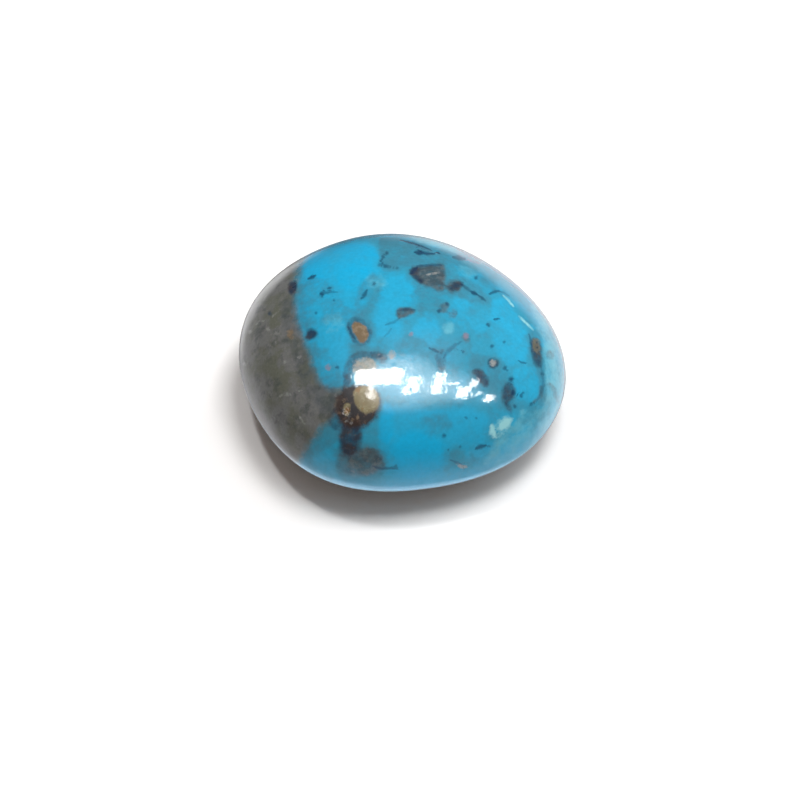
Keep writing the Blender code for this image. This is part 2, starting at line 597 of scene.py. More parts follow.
    # Beige and grey grains, and a painted glint on the low pit's lip
    *patches(
        Tone.GRIT_AND_GLINT,
        ("grey bloom over the gilt", 0.3, 0.55, (352, 366), (358, 359), (370, 358), (376, 364), (374, 372),
         (356, 374)),
    ),
    *veins(
        Tone.GRIT_AND_GLINT,
        ("scratch on the inclusion", 0.12, 0.1, 0.7, (426, 275), (431, 274), (440, 272)),
        # Painted highlight: a whitish glint on the low pit's lip
        ("low pit's lip", 0.22, 0.12, 1.0, (457, 464), (461, 467), (467, 467)),
        ("scratch on the host rock", 0.09, 0.1, 0.4, (256, 325), (259, 321), (264, 321)),
        ("second scratch", 0.1, 0.1, 0.35, (272, 317), (275, 313), (279, 312)),
        ("third scratch", 0.08, 0.1, 0.4, (295, 391), (298, 391), (302, 391)),
        ("fourth scratch", 0.1, 0.1, 0.4, (299, 415), (301, 420), (305, 424)),
        ("fifth scratch", 0.14, 0.16, 0.3, (280, 396), (286, 394), (291, 395)),
    ),
    *specks(
        Tone.GRIT_AND_GLINT,
        ("beige spot over the highlight", 0.5, 0.2, 0.7, (392, 355)),
        ("beige dot", 0.4, 0.14, 0.8, (493, 363)),
        ("grains in the host rock", 0.2, 0.16, 0.4, (299, 357), (250, 332), (268, 329), (245, 364),
         (285, 362), (277, 333), (275, 343), (349, 417)),
        ("grains by the umber", 0.16, 0.14, 0.4, (346, 421), (351, 423), (336, 395)),
    ),
    # Gilt
    *patches(
        Tone.GILT,
        ("olive streak", 0.34, 0.5, (532, 342), (535, 339), (539, 341), (540, 347), (539, 353), (535, 352)),
        ("gilt", 0.2, 1.0, (353, 389), (362, 385), (374, 387), (380, 398), (378, 408), (370, 414),
         (360, 412), (354, 402)),
        ("gilt under the highlight", 0.3, 0.8, (352, 366), (362, 358), (374, 360), (378, 368), (366, 374),
         (354, 376)),
        ("amber", 0.14, 1.0, (343, 405), (349, 402), (351, 409), (348, 417), (344, 415)),
    ),
    # Chalk, and painted glints on the flank
    *patches(
        Tone.CHALK_AND_GLINT,
        ("pale chip", 0.14, 1.0, (499, 425), (504, 419), (512, 417), (511, 422), (505, 430), (499, 431)),
        ("chalk haze of the chip", 0.35, 0.35, (489, 434), (494, 424), (503, 418), (513, 417), (508, 428),
         (500, 436), (492, 438)),
    ),
    *veins(
        Tone.CHALK_AND_GLINT,
        ("pale chip's streak", 0.28, 0.12, 1.0, (491, 425), (493, 431), (495, 437)),
        # Painted highlights: two thin glints on the right flank
        ("flank glint", 0.11, 0.1, 0.9, (503, 295), (508, 300), (514, 307)),
        ("flank glint below", 0.11, 0.1, 0.9, (519, 316), (525, 322), (533, 330)),
    ),
    # Ink
    *veins(
        Tone.INK,
        ("ink by the top left", 0.17, 0.1, 0.95, (308, 279), (312, 277), (316, 275)),
        ("ink tail", 0.1, 0.1, 0.5, (322, 293), (329, 292), (338, 292)),
        ("ink stroke", 0.2, 0.1, 0.75, (367, 290), (365, 294), (361, 299)),
        ("back rim vein", 0.12, 0.1, 0.8, (400, 240), (409, 242), (418, 245), (431, 250)),
        ("back rim dash", 0.26, 0.1, 1.0, (415, 252), (419, 252), (424, 253)),
        ("back rim dash's tail", 0.17, 0.1, 0.9, (422, 253), (430, 254), (434, 254)),
        ("back rim dash's end", 0.13, 0.1, 0.9, (436, 252), (438, 253), (440, 254)),
        ("rim mark", 0.22, 0.1, 0.6, (453, 257), (459, 258), (465, 259)),
        ("inclusion tip", 0.26, 0.1, 0.9, (411, 273), (414, 271), (417, 267)),
        ("inclusion's top", 0.14, 0.1, 0.55, (416, 266), (428, 265), (442, 265)),
        ("shoulder vein", 0.16, 0.1, 0.55, (461, 284), (466, 288), (471, 291)),
        ("shoulder vein's dash", 0.18, 0.1, 0.95, (470, 291), (474, 293), (478, 295)),
        ("shoulder vein's end", 0.15, 0.1, 0.75, (478, 295), (482, 298), (486, 301)),
        ("shoulder dash", 0.18, 0.1, 0.8, (489, 294), (494, 292), (499, 291)),
        ("shoulder dash's end", 0.1, 0.1, 0.45, (499, 291), (505, 293), (510, 297)),
        ("inclusion's dark top", 0.16, 0.1, 0.5, (397, 311), (404, 309), (415, 310)),
        ("dotted tail", 0.14, 0.1, 0.45, (400, 318), (394, 322), (385, 325)),
        ("dotted tail's end", 0.1, 0.1, 0.35, (392, 328), (389, 332), (384, 337)),
        ("small dash", 0.15, 0.1, 0.9, (494, 319), (497, 319), (500, 319)),
        ("glint foot", 0.12, 0.1, 0.7, (518, 360), (522, 363), (527, 363)),
        ("dark arc", 0.22, 0.1, 0.45, (462, 341), (454, 346), (447, 352), (444, 358)),
        ("web over the highlight", 0.18, 0.1, 0.7, (429, 348), (434, 350), (439, 352)),
        ("low tail", 0.15, 0.1, 0.75, (372, 466), (380, 469), (390, 468), (398, 469)),
        ("low dash", 0.14, 0.1, 0.6, (450, 460), (455, 462), (462, 464)),
        ("kite's dark side", 0.17, 0.1, 0.7, (348, 326), (351, 333), (355, 339)),
        ("right flank vein", 0.16, 0.1, 0.3, (541, 366), (542, 374), (544, 384), (541, 394), (536, 402)),
        ("right flank vein's top", 0.14, 0.1, 0.6, (529, 334), (531, 342), (532, 352)),
        ("low blotch", 0.24, 0.1, 0.85, (475, 449), (480, 447), (486, 445)),
    ),
    *specks(
        Tone.INK,
        ("haze corner", 0.17, 0.1, 0.75, (387, 253), (383, 257), (381, 261), (386, 266)),
        ("haze foot", 0.14, 0.1, 0.45, (390, 267), (397, 268), (379, 265)),
        ("large dots", 0.26, 0.1, 0.95, (322, 294), (511, 379), (513, 393)),
        ("dots", 0.2, 0.1, 0.75, (329, 288), (374, 284), (385, 266), (337, 367), (492, 346), (444, 436),
         (515, 406), (521, 396), (542, 374), (270, 314), (531, 404), (505, 368), (476, 278), (488, 325),
         (439, 311), (447, 304)),
        ("small dots", 0.14, 0.1, 0.6, (316, 313), (504, 342), (463, 352), (448, 450), (466, 418),
         (476, 418), (460, 447), (396, 466), (350, 472), (334, 300), (489, 446), (523, 393), (371, 353),
         (380, 356)),
    ),
    # Worn places
    *patches(
        Tone.PORE,
        ("worn web", 0.8, 1.0, (335, 366), (346, 352), (380, 346), (420, 350), (455, 354), (490, 362),
         (514, 378), (512, 400), (490, 412), (455, 404), (420, 400), (384, 402), (378, 416), (345, 420),
         (334, 396)),
    ),
    # Chipped places
    *specks(
        Tone.DENT,
        ("chipped pits", 0.3, 0.3, 1.0, (463, 467), (347, 411)),
    ),
)

FRONT = Aspect("photo side", 0.0, PHOTO.elevation, FRONT_MARKS, PHOTO.pixels_per_mm)


@dataclass(frozen=True)
class Growth:
    """How the marking of a side that the photo doesn't show is grown.

    Args:
        seed: Seed of its random draws.
        reach: Half width and half height of the side, in millimetres.
        cells: How many clear blue cells.
        hazes: How many hazes.
        inclusions: How many inclusions of host rock.
        veins: How many ink veins.
        dots: How many ink dots.
    """

    seed: int
    reach: tuple[float, float]
    cells: int = 9
    hazes: int = 8
    inclusions: int = 5
    veins: int = 12
    dots: int = 14

    def marks(self) -> tuple[Mark, ...]:
        """Draw the marking.

        Returns:
            The marks, on the side's plane.
        """
        draw = np.random.default_rng(self.seed)
        marks: list[Mark] = []
        kinds = (
            ("cell", Tone.BRIGHT, self.cells, 1.6, 0.60, 1.0),
            ("deeper cloud", Tone.DEEP_AND_FILL_LIGHT, self.cells // 3, 1.4, 0.90, 0.7),
            ("haze", Tone.HAZE, self.hazes, 1.3, 0.60, 0.8),
            ("paler cloud", Tone.PALE_AND_SHEEN, self.cells // 3, 1.0, 0.60, 0.6),
            ("inclusion", Tone.SLATE, self.inclusions, 0.8, 0.30, 0.9),
            ("smoke", Tone.SMOKE, self.inclusions, 0.5, 0.30, 0.85),
            ("ochre", Tone.OCHRE, self.inclusions // 2, 0.4, 0.18, 0.9),
        )
        for name, tone, count, radius, fade, strength in kinds:
            for number in range(count):
                outline = self.outline(draw, radius * draw.uniform(0.5, 1.3))
                marks.append(Patch(f"{name} {number}", tone, outline, fade, strength))
        for number in range(self.veins):
            width, path = draw.uniform(0.10, 0.22), self.path(draw)
            marks.append(Vein(f"vein {number}", Tone.INK, width, path, 0.1, draw.uniform(0.4, 0.95)))
        for width in (0.14, 0.22):
            spots = tuple(self.place(draw) for _ in range(self.dots // 2))
            marks.append(Specks("dots", Tone.INK, width, spots))
        chips = tuple(self.place(draw) for _ in range(3))
        marks.append(Specks("chips", Tone.CHALK_AND_GLINT, 0.30, chips, 0.15, 0.7))
        return tuple(marks)

    def place(self, draw: np.random.Generator) -> Pixel:
        """Draw a place on the side's plane."""
        return draw.uniform(-self.reach[0], self.reach[0]), draw.uniform(-self.reach[1], self.reach[1])

    def outline(self, draw: np.random.Generator, radius: float) -> tuple[Pixel, ...]:
        """Draw an uneven closed outline.

        Args:
            draw: The random draws.
            radius: Its mean radius, in millimetres.

        Returns:
            Its corners.
        """
        across, up = self.place(draw)
        corners = 8
        long, turn = draw.uniform(1.0, 1.6), draw.uniform(0.0, math.pi)
        points = []
        for number in range(corners):
            angle = math.tau * number / corners
            far = radius * draw.uniform(0.65, 1.25)
            side, rise = far * math.cos(angle) * long, far * math.sin(angle)
            points.append((across + side * math.cos(turn) - rise * math.sin(turn),
                           up + side * math.sin(turn) + rise * math.cos(turn)))
        return tuple(points)

    def path(self, draw: np.random.Generator) -> tuple[Pixel, ...]:
        """Draw a short wandering line."""
        across, up = self.place(draw)
        heading = draw.uniform(0.0, math.tau)
        points = [(across, up)]
        for _ in range(int(draw.integers(2, 6))):
            heading += draw.normal(0.0, 0.45)
            step = draw.uniform(0.3, 0.7)
            across, up = across + step * math.cos(heading), up + step * math.sin(heading)
            points.append((across, up))
        return tuple(points)


LEFT_MARKS: tuple[Mark, ...] = (
    Patch("host rock of the left end", Tone.HOST, (
        (-8.0, 1.0), (-6.5, 3.0), (-3.0, 8.0), (4.0, 9.0), (5.6, 5.0), (5.0, 1.5), (4.2, -1.5), (3.0, -5.0),
        (-7.0, -6.0)), 0.30),
    Specks("grains", Tone.GRIT_AND_GLINT, 0.22, ((-4.0, 2.2), (-1.5, 0.6), (1.0, -0.8), (-5.0, 0.4), (2.6, 1.2)),
           0.16, 0.4),
    Patch("rust", Tone.OCHRE, ((-3.4, 1.2), (-2.9, 1.6), (-2.3, 1.3), (-2.5, 0.8), (-3.2, 0.7)), 0.25, 0.7),
)

UNDER_MARKS: tuple[Mark, ...] = (
    Patch("host rock of the base", Tone.HOST, (
        (-12.0, -9.0), (-2.0, -9.5), (2.5, -6.0), (1.0, -2.5), (4.5, 0.5), (7.5, 2.0), (6.0, 5.0),
        (3.0, 7.5), (-3.0, 9.0), (-12.0, 9.0)), 0.45),
    Patch("umber of the base", Tone.UMBER, (
        (-3.0, -2.0), (0.5, -1.0), (1.5, 1.5), (-1.0, 3.0), (-4.0, 1.5)), 0.80, 0.6),
)

HIDDEN: tuple[Aspect, ...] = (
    Aspect("left side", 270.0, 5.0, LEFT_MARKS),
    Aspect("underside", 0.0, -90.0, UNDER_MARKS + Growth(11, (8.0, 7.0), 5, 5, 3, 8, 10).marks()),
    Aspect("back", 180.0, 15.0, Growth(23, (8.5, 4.0)).marks()),
    Aspect("right side", 90.0, 5.0, Growth(31, (7.5, 3.5), 7, 6, 4, 9, 10).marks()),
)


@dataclass(frozen=True)
class Cloud:
    """A noise in the stone.

    Args:
        size: Size of one swell, in millimetres.
        detail: How many finer layers it has.
        rough: How strong the finer layers are.
        shift: How far it is moved, in millimetres, so that it differs from the others.
    """

    size: float
    detail: float = 3.0
    rough: float = 0.5
    shift: tuple[float, float, float] = (0.0, 0.0, 0.0)


@dataclass(frozen=True)
class Turn:
    """How a value turns into a part.

    Args:
        low: The value that gives none.
        high: The value that gives the most.
        most: The most that it gives.
    """

    low: float
    high: float
    most: float = 1.0


class Tree:
    """Short ways to put nodes into a node tree."""

    def __init__(self, tree: bpy.types.NodeTree) -> None:
        """Work on a node tree.

        Args:
            tree: The shader or geometry tree.
        """
        self.tree = tree

    def node(self, kind: str, /, inputs: dict | None = None, **settings: object) -> bpy.types.Node:
        """Add a node.

        Args:
            kind: Blender's name for the node's type.
            inputs: Value or socket for each named or numbered input.
            settings: Properties of the node.

        Returns:
            The node.
        """
        node = self.tree.nodes.new(kind)
        for name, value in settings.items():
            setattr(node, name, value)
        for name, value in (inputs or {}).items():
            self.feed(node.inputs[name], value)
        return node

    def feed(self, socket: Socket, value: object) -> None:
        """Link a socket to another, or set its value.

        Args:
            socket: The input socket.
            value: An output socket or a plain value.
        """
        if isinstance(value, Socket):
            self.tree.links.new(value, socket)
        else:
            socket.default_value = value

    def attribute(self, name: str, output: str = "Fac") -> Socket:
        """Read one of the skin's attributes."""
        return self.node("ShaderNodeAttribute", attribute_name=name).outputs[output]

    def sum(self, operation: str, *values: object) -> Socket:
        """Add a Math node and give its result.

        Args:
            operation: Blender's name for the sum.
            values: Its inputs in order.

        Returns:
            The result's socket.
        """
        return self.node("ShaderNodeMath", dict(enumerate(values)), operation=operation).outputs[0]

    def product(self, *values: object) -> Socket:
        """Multiply two values."""
        return self.sum("MULTIPLY", *values)

    def vector(self, operation: str, *values: object) -> Socket:
        """Add a Vector Math node and give its vector or its value.

        Args:
            operation: Blender's name for the sum.
            values: Its inputs in order. The second input of a SCALE is its scale.

        Returns:
            The result's socket.
        """
        node = self.node("ShaderNodeVectorMath", operation=operation)
        for number, value in enumerate(values):
            slot = "Scale" if operation == "SCALE" and number == 1 else number
            self.feed(node.inputs[slot], value)
        return node.outputs["Value" if operation in ("LENGTH", "DISTANCE", "DOT_PRODUCT") else "Vector"]

    def part(self, value: object, turn: Turn) -> Socket:
        """Turn a value into a part, with both ends eased.

        Args:
            value: The value's socket.
            turn: How it turns into a part.

        Returns:
            The part's socket.
        """
        inputs = {"Value": value, "From Min": turn.low, "From Max": turn.high, "To Max": turn.most}
        kind = "SMOOTHSTEP"
        return self.node("ShaderNodeMapRange", inputs, interpolation_type=kind, clamp=True).outputs["Result"]

    def noise(self, where: object, cloud: Cloud, output: str = "Fac") -> Socket:
        """Add a noise.

        Args:
            where: Socket of the place, in millimetres.
            cloud: The noise's sizes.
            output: Fac or Color.

        Returns:
            The output's socket.
        """
        moved = self.vector("ADD", where, cloud.shift) if any(cloud.shift) else where
        scale, detail = 1.0 / cloud.size, cloud.detail
        inputs = {"Vector": moved, "Scale": scale, "Detail": detail, "Roughness": cloud.rough}
        return self.node("ShaderNodeTexNoise", inputs).outputs[output]

    def mix(self, part: object, low: object, high: object, blend: str = "MIX") -> Socket:
        """Mix two colours.

        Args:
            part: How much of the second, from 0 to 1.
            low: The first colour or its socket.
            high: The second colour or its socket.
            blend: Blender's name for the way of mixing.

        Returns:
            The mixed colour's socket.
        """
        node = self.node("ShaderNodeMix", data_type="RGBA", blend_type=blend)
        self.feed(node.inputs["Factor"], part)
        for socket, value in ((node.inputs[6], low), (node.inputs[7], high)):
            self.feed(socket, (*value, 1.0) if isinstance(value, tuple) else value)
        return node.outputs[2]

    def blend(self, part: object, low: object, high: object) -> Socket:
        """Mix two numbers.

        Args:
            part: How much of the second, from 0 to 1.
            low: The first number or its socket.
            high: The second number or its socket.

        Returns:
            The mixed number's socket.
        """
        return self.node("ShaderNodeMix", {0: part, 2: low, 3: high}, data_type="FLOAT").outputs[0]

    def mottled(self, colour: Socket, grain: Socket, dark: float, light: float) -> Socket:
        """Make a colour darker and lighter in grains.

        Args:
            colour: The colour's socket.
            grain: Socket of the grains.
            dark: Brightness of the darkest grain.
            light: Brightness of the lightest grain.

        Returns:
            The mottled colour's socket.
        """
        value = self.blend(grain, dark, light)
        grey = self.node("ShaderNodeCombineXYZ", {0: value, 1: value, 2: value}).outputs[0]
        return self.mix(1.0, colour, grey, "MULTIPLY")


@dataclass(frozen=True)
class Edge:
    """How raggedly a tone ends on the stone, and how much of it shows.

    Args:
        ragged: How far the edge strays, in parts of its soft width.
        grain: Size of the strays, in millimetres.
        most: How much of its colour shows inside, up to 1.
    """

    ragged: float
    grain: float
    most: float = 1.0


EDGES: dict[Tone, Edge] = {
    Tone.BRIGHT: Edge(0.90, 0.90),
    Tone.DEEP_AND_FILL_LIGHT: Edge(0.80, 1.20, 0.90),
    Tone.PALE_AND_SHEEN: Edge(1.00, 0.80, 0.75),
    Tone.HAZE: Edge(0.90, 0.75, 0.80),
    Tone.HOST: Edge(0.46, 0.60),
    Tone.SLATE: Edge(0.55, 0.50, 0.90),
    Tone.SMOKE: Edge(0.50, 0.50, 0.92),
    Tone.UMBER: Edge(0.60, 0.45, 0.95),
    Tone.OCHRE: Edge(0.70, 0.30),
    Tone.BLUSH_AND_SHEEN: Edge(0.80, 0.30, 0.90),
    Tone.GILT: Edge(0.70, 0.40),
    Tone.CHALK_AND_GLINT: Edge(0.70, 0.30, 0.90),
    Tone.GRIT_AND_GLINT: Edge(0.70, 0.20, 0.90),
    Tone.PORE: Edge(0.80, 0.80),
    Tone.DENT: Edge(1.20, 0.30),
}

INK_WAY = "ink_way"
INK_PART = "ink_part"
UNDER = "under"


@dataclass(frozen=True)
class Tint:
    """Colours of a tone.

    Args:
        main: Its main colour.
        other: The colour that it turns into in places.
        turn: How the stone's grain brings in the other colour.
        coarse: Whether that is the coarse grain.
    """

    main: Colour
    other: Colour | None = None
    turn: Turn = Turn(0.0, 1.0)
    coarse: bool = False


BLUE_TINTS: dict[Tone, Tint] = {
    # The deep blue is brighter than the clear blue, as painted fill light for the near side
    Tone.DEEP_AND_FILL_LIGHT: Tint((0.004, 0.375, 0.660)),
    # This pale blue also carries the painted reflection along the right rim
    Tone.PALE_AND_SHEEN: Tint((0.120, 0.420, 0.530)),
    Tone.HAZE: Tint((0.042, 0.185, 0.262)),
}

STONE_TINTS: dict[Tone, Tint] = {
    Tone.SLATE: Tint((0.042, 0.056, 0.066), (0.084, 0.098, 0.104), Turn(0.42, 0.62), coarse=True),
    Tone.SMOKE: Tint((0.014, 0.028, 0.060), (0.036, 0.028, 0.038), Turn(0.45, 0.60), coarse=True),
    Tone.UMBER: Tint((0.040, 0.025, 0.020), (0.095, 0.056, 0.036), Turn(0.50, 0.68)),
    Tone.OCHRE: Tint((0.165, 0.118, 0.068), (0.240, 0.180, 0.115), Turn(0.42, 0.66)),
    Tone.BLUSH_AND_SHEEN: Tint((0.230, 0.190, 0.260)),
    Tone.GILT: Tint((0.160, 0.130, 0.062), (0.230, 0.205, 0.115), Turn(0.45, 0.68)),
    Tone.CHALK_AND_GLINT: Tint((0.300, 0.620, 0.650)),
    Tone.GRIT_AND_GLINT: Tint((0.300, 0.310, 0.300)),
}


@dataclass(frozen=True)
class Seen:
    """What every part of the material reads.

    Args:
        tree: The material's tree.
        where: Socket of the place, in millimetres.
        covers: Socket of each tone's part.
        ink: Socket of the ink's part.
        fine: Socket of the stone's fine grain.
        coarse: Socket of its coarse grain.
        under: Socket of how far the surface faces down, unevenly.
    """

    tree: Tree
    where: Socket
    covers: dict[Tone, Socket]
    ink: Socket
    fine: Socket
    coarse: Socket
    under: Socket


@dataclass(frozen=True)
class StoneFinish:
    """Polished turquoise with everything that grew in it, and its ground keel, round which a pale band is
    painted: partly frosted finish, partly painted reflection of the rim.

    Colours are linear, clouds are in millimetres, and heights of the relief are too.
    """

    # Turquoise
    bright: Colour = (0.018, 0.340, 0.560)
    body: Colour = (0.028, 0.270, 0.410)
    blue_cloud: Cloud = Cloud(2.4, 4.0, 0.55)
    blue_blot: Cloud = Cloud(0.75, 4.0, 0.6, (31.0, 7.0, 12.0))
    blue_grain: Cloud = Cloud(0.22, 3.0, 0.6)
    blue_mottle: tuple[float, float] = (0.84, 1.16)
    body_in_bright: Turn = Turn(0.46, 0.72, 0.40)
    bright_in_body: Turn = Turn(0.42, 0.66, 0.55)
    haze_in_body: Turn = Turn(0.50, 0.72, 0.45)
    # Host rock
    rock_grey: Colour = (0.144, 0.148, 0.148)
    rock_olive: Colour = (0.110, 0.118, 0.094)
    rock_dark: Colour = (0.068, 0.078, 0.074)
    rock_light: Colour = (0.190, 0.190, 0.185)
    rock_cloud: Cloud = Cloud(1.5, 5.0, 0.6)
    rock_blot: Cloud = Cloud(0.8, 5.0, 0.65, (5.0, 17.0, 3.0))
    rock_grain: Cloud = Cloud(0.15, 3.0, 0.7)
    rock_mottle: tuple[float, float] = (0.75, 1.25)
    olive_turn: Turn = Turn(0.40, 0.60)
    dark_turn: Turn = Turn(0.48, 0.70, 0.85)
    light_turn: Turn = Turn(0.60, 0.76, 0.35)
    # Grain and edges of the tones
    fine_grain: Cloud = Cloud(0.30, 4.0, 0.6)
    coarse_grain: Cloud = Cloud(0.6, 4.0, 0.6, (2.0, 9.0, 4.0))
    edge_detail: float = 4.0
    edge_rough: float = 0.6
    edge_turn: tuple[float, float] = (-0.5, 0.5)
    amber: Colour = (0.210, 0.115, 0.042)
    amber_turn: Turn = Turn(0.52, 0.66)
    # Ink
    ink: Colour = (0.004, 0.026, 0.075)
    ink_most: float = 0.86
    ink_cloud: Cloud = Cloud(0.25)
    ink_sway: float = 2.2
    ink_turn: Turn = Turn(2.0, 0.3)
    # Pale band round the keel, partly frosted finish and partly painted reflection of the rim, and the dull
    # ground underside
    frost_and_sheen: Colour = (0.280, 0.650, 0.940)
    frost_and_sheen_rock: Colour = (0.540, 0.555, 0.590)
    frost_and_sheen_start: Turn = Turn(-0.52, 0.32)
    frost_and_sheen_end: Turn = Turn(0.74, 0.50)
    frost_and_sheen_mottle: tuple[float, float] = (0.60, 1.0)
    frost_and_sheen_most: float = 0.82
    ground: Colour = (0.055, 0.040, 0.032)
    ground_turn: Turn = Turn(0.48, 0.72, 0.75)
    under_sway: float = 0.12
    # Gloss
    keel_turn: Turn = Turn(0.12, 0.44)
    blue_rough: float = 0.21
    rock_rough: float = 0.34
    gilt_rough: float = 0.42
    keel_rough: float = 0.48
    rough_mottle: tuple[float, float] = (0.8, 1.2)
    gilt_metal: float = 0.08
    dome_coat: float = 1.0
    keel_coat: float = 0.45
    coat_rough: float = 0.05
    refraction: float = 1.28
    # Relief
    ripple: Cloud = Cloud(0.9)
    web: Cloud = Cloud(0.42)
    web_parts: tuple[float, float] = (0.08, 1.0)
    ripple_height: float = 0.002
    web_height: float = 0.009
    dent_height: float = -0.060
    ink_height: float = -0.006
    keel_height: float = 0.020

    def cover(self, tree: Tree, where: Socket, tone: Tone) -> Socket:
        """Tell how much of a tone there is.

        Args:
            tree: The material's tree.
            where: Socket of the place, in millimetres.
            tone: The tone.

        Returns:
            Socket of its part, from 0 to the most that shows.
        """
        edge = EDGES[tone]
        noise = tree.noise(where, Cloud(edge.grain, self.edge_detail, self.edge_rough))
        stray = tree.sum("SUBTRACT", noise, 0.5)
        depth = tree.sum("MULTIPLY_ADD", stray, edge.ragged * 2, tree.attribute(tone.value))
        return tree.part(depth, Turn(*self.edge_turn, edge.most))

    def ink_cover(self, tree: Tree, where: Socket) -> Socket:
        """Tell how much ink there is, from the way to the nearest line in half widths of it.

        Args:
            tree: The material's tree.
            where: Socket of the place, in millimetres.

        Returns:
            Socket of its part, from 0 to 1.
        """
        stray = tree.vector("SUBTRACT", tree.noise(where, self.ink_cloud, "Color"), (0.5, 0.5, 0.5))
        way = tree.attribute(INK_WAY, "Vector")
        length = tree.vector("LENGTH", tree.vector("ADD", way, tree.vector("SCALE", stray, self.ink_sway)))
        far = tree.sum("MAXIMUM", length, tree.attribute(Tone.INK.value))
        return tree.product(tree.part(far, self.ink_turn), tree.attribute(INK_PART))

    def tinted(self, seen: Seen, colour: Socket, tints: dict[Tone, Tint]) -> Socket:
        """Lay tones over a colour.

        Args:
            seen: What the material reads.
            colour: Socket of the colour under them.
            tints: Their colours, in order.

        Returns:
            The colour's socket.
        """
        tree = seen.tree
        for tone, tint in tints.items():
            over = tint.main
            if tint.other:
                part = tree.part(seen.coarse if tint.coarse else seen.fine, tint.turn)
                over = tree.mix(part, tint.main, tint.other)
            if tone is Tone.GILT:
                over = tree.mix(tree.part(seen.coarse, self.amber_turn), over, self.amber)
            colour = tree.mix(seen.covers[tone], colour, over)
        return colour

    def blue(self, seen: Seen) -> Socket:
        """Colour of the turquoise itself."""
        tree, where = seen.tree, seen.where
        cloud, blot = tree.noise(where, self.blue_cloud), tree.noise(where, self.blue_blot)
        bright = tree.mix(tree.part(blot, self.body_in_bright), self.bright, self.body)
        body = tree.mix(tree.part(cloud, self.bright_in_body), self.body, self.bright)
        body = tree.mix(tree.part(blot, self.haze_in_body), body, BLUE_TINTS[Tone.HAZE].main)
        colour = self.tinted(seen, tree.mix(seen.covers[Tone.BRIGHT], body, bright), BLUE_TINTS)
        return tree.mottled(colour, tree.noise(where, self.blue_grain), *self.blue_mottle)

    def rock(self, seen: Seen) -> Socket:
        """Colour of the host rock."""
        tree, where = seen.tree, seen.where
        grain = tree.noise(where, self.rock_grain)
        olive = tree.part(tree.noise(where, self.rock_cloud), self.olive_turn)
        dark = tree.part(tree.noise(where, self.rock_blot), self.dark_turn)
        colour = tree.mix(olive, self.rock_grey, self.rock_olive)
        colour = tree.mix(dark, colour, self.rock_dark)
        colour = tree.mix(tree.part(grain, self.light_turn), colour, self.rock_light)
        return tree.mottled(colour, grain, *self.rock_mottle)

    def colour(self, seen: Seen) -> Socket:
        """Colour of the whole stone, with the pale keel band painted in as rim reflection."""
        tree, host = seen.tree, seen.covers[Tone.HOST]
        colour = self.tinted(seen, tree.mix(host, self.blue(seen), self.rock(seen)), STONE_TINTS)
        colour = tree.mix(tree.product(seen.ink, self.ink_most), colour, self.ink)
        # Painted reflection: a pale band where the surface turns down at the keel, laid over a frosted finish
        sheen_band = tree.product(tree.part(seen.under, self.frost_and_sheen_start), tree.part(seen.under, self.frost_and_sheen_end))
        sheen_band = tree.product(sheen_band, tree.blend(seen.fine, *self.frost_and_sheen_mottle))
        frost_and_sheen = tree.mix(host, self.frost_and_sheen, self.frost_and_sheen_rock)
        colour = tree.mix(tree.product(sheen_band, self.frost_and_sheen_most), colour, frost_and_sheen)
        return tree.mix(tree.part(seen.under, self.ground_turn), colour, self.ground)

    def height(self, seen: Seen, keel: Socket) -> Socket:
        """Height of the fine relief.

        Args:
            seen: What the material reads.
            keel: Socket of how far a place is on the keel.

        Returns:
            The height's socket, in millimetres.
        """
        tree, where = seen.tree, seen.where
        height = tree.product(tree.noise(where, self.ripple), self.ripple_height)
        pores = tree.product(tree.noise(where, self.web), tree.blend(seen.covers[Tone.PORE], *self.web_parts))
        for part, rise in (
            (pores, self.web_height), (seen.covers[Tone.DENT], self.dent_height),
            (seen.ink, self.ink_height), (tree.product(seen.fine, keel), self.keel_height),
        ):
            height = tree.sum("MULTIPLY_ADD", part, rise, height)
        return height

    def material(self) -> bpy.types.Material:
        """Build the stone's material.

        Returns:
            The material.
        """
        material = bpy.data.materials.new("polished_turquoise_skin")
        material.use_nodes = True
        tree = Tree(material.node_tree)
        where = tree.vector("SCALE", tree.node("ShaderNodeTexCoord").outputs["Object"], 1.0 / MM)
        covers = {tone: self.cover(tree, where, tone) for tone in EDGES}
        fine, coarse = tree.noise(where, self.fine_grain), tree.noise(where, self.coarse_grain)
        sway = tree.sum("SUBTRACT", coarse, 0.5)
        under = tree.sum("MULTIPLY_ADD", sway, self.under_sway, tree.attribute(UNDER))
        seen = Seen(tree, where, covers, self.ink_cover(tree, where), fine, coarse, under)

        keel = tree.part(under, self.keel_turn)
        rough = tree.blend(covers[Tone.HOST], self.blue_rough, self.rock_rough)
        rough = tree.blend(covers[Tone.GILT], rough, self.gilt_rough)
        rough = tree.product(rough, tree.blend(fine, *self.rough_mottle))
        bump = tree.node("ShaderNodeBump", {
            "Strength": 1.0, "Distance": MM, "Height": self.height(seen, keel)}).outputs["Normal"]
        values = {
            "Base Color": self.colour(seen),
            "Roughness": tree.blend(keel, rough, self.keel_rough),
            "Metallic": tree.product(covers[Tone.GILT], self.gilt_metal),
            "Coat Weight": tree.blend(keel, self.dome_coat, self.keel_coat),
            "Coat Roughness": self.coat_rough,
            "IOR": self.refraction,
            "Normal": bump,
            "Coat Normal": bump,
        }
        shader = material.node_tree.nodes["Principled BSDF"]
        for name, value in values.items():
            tree.feed(shader.inputs[name], value)
        return material


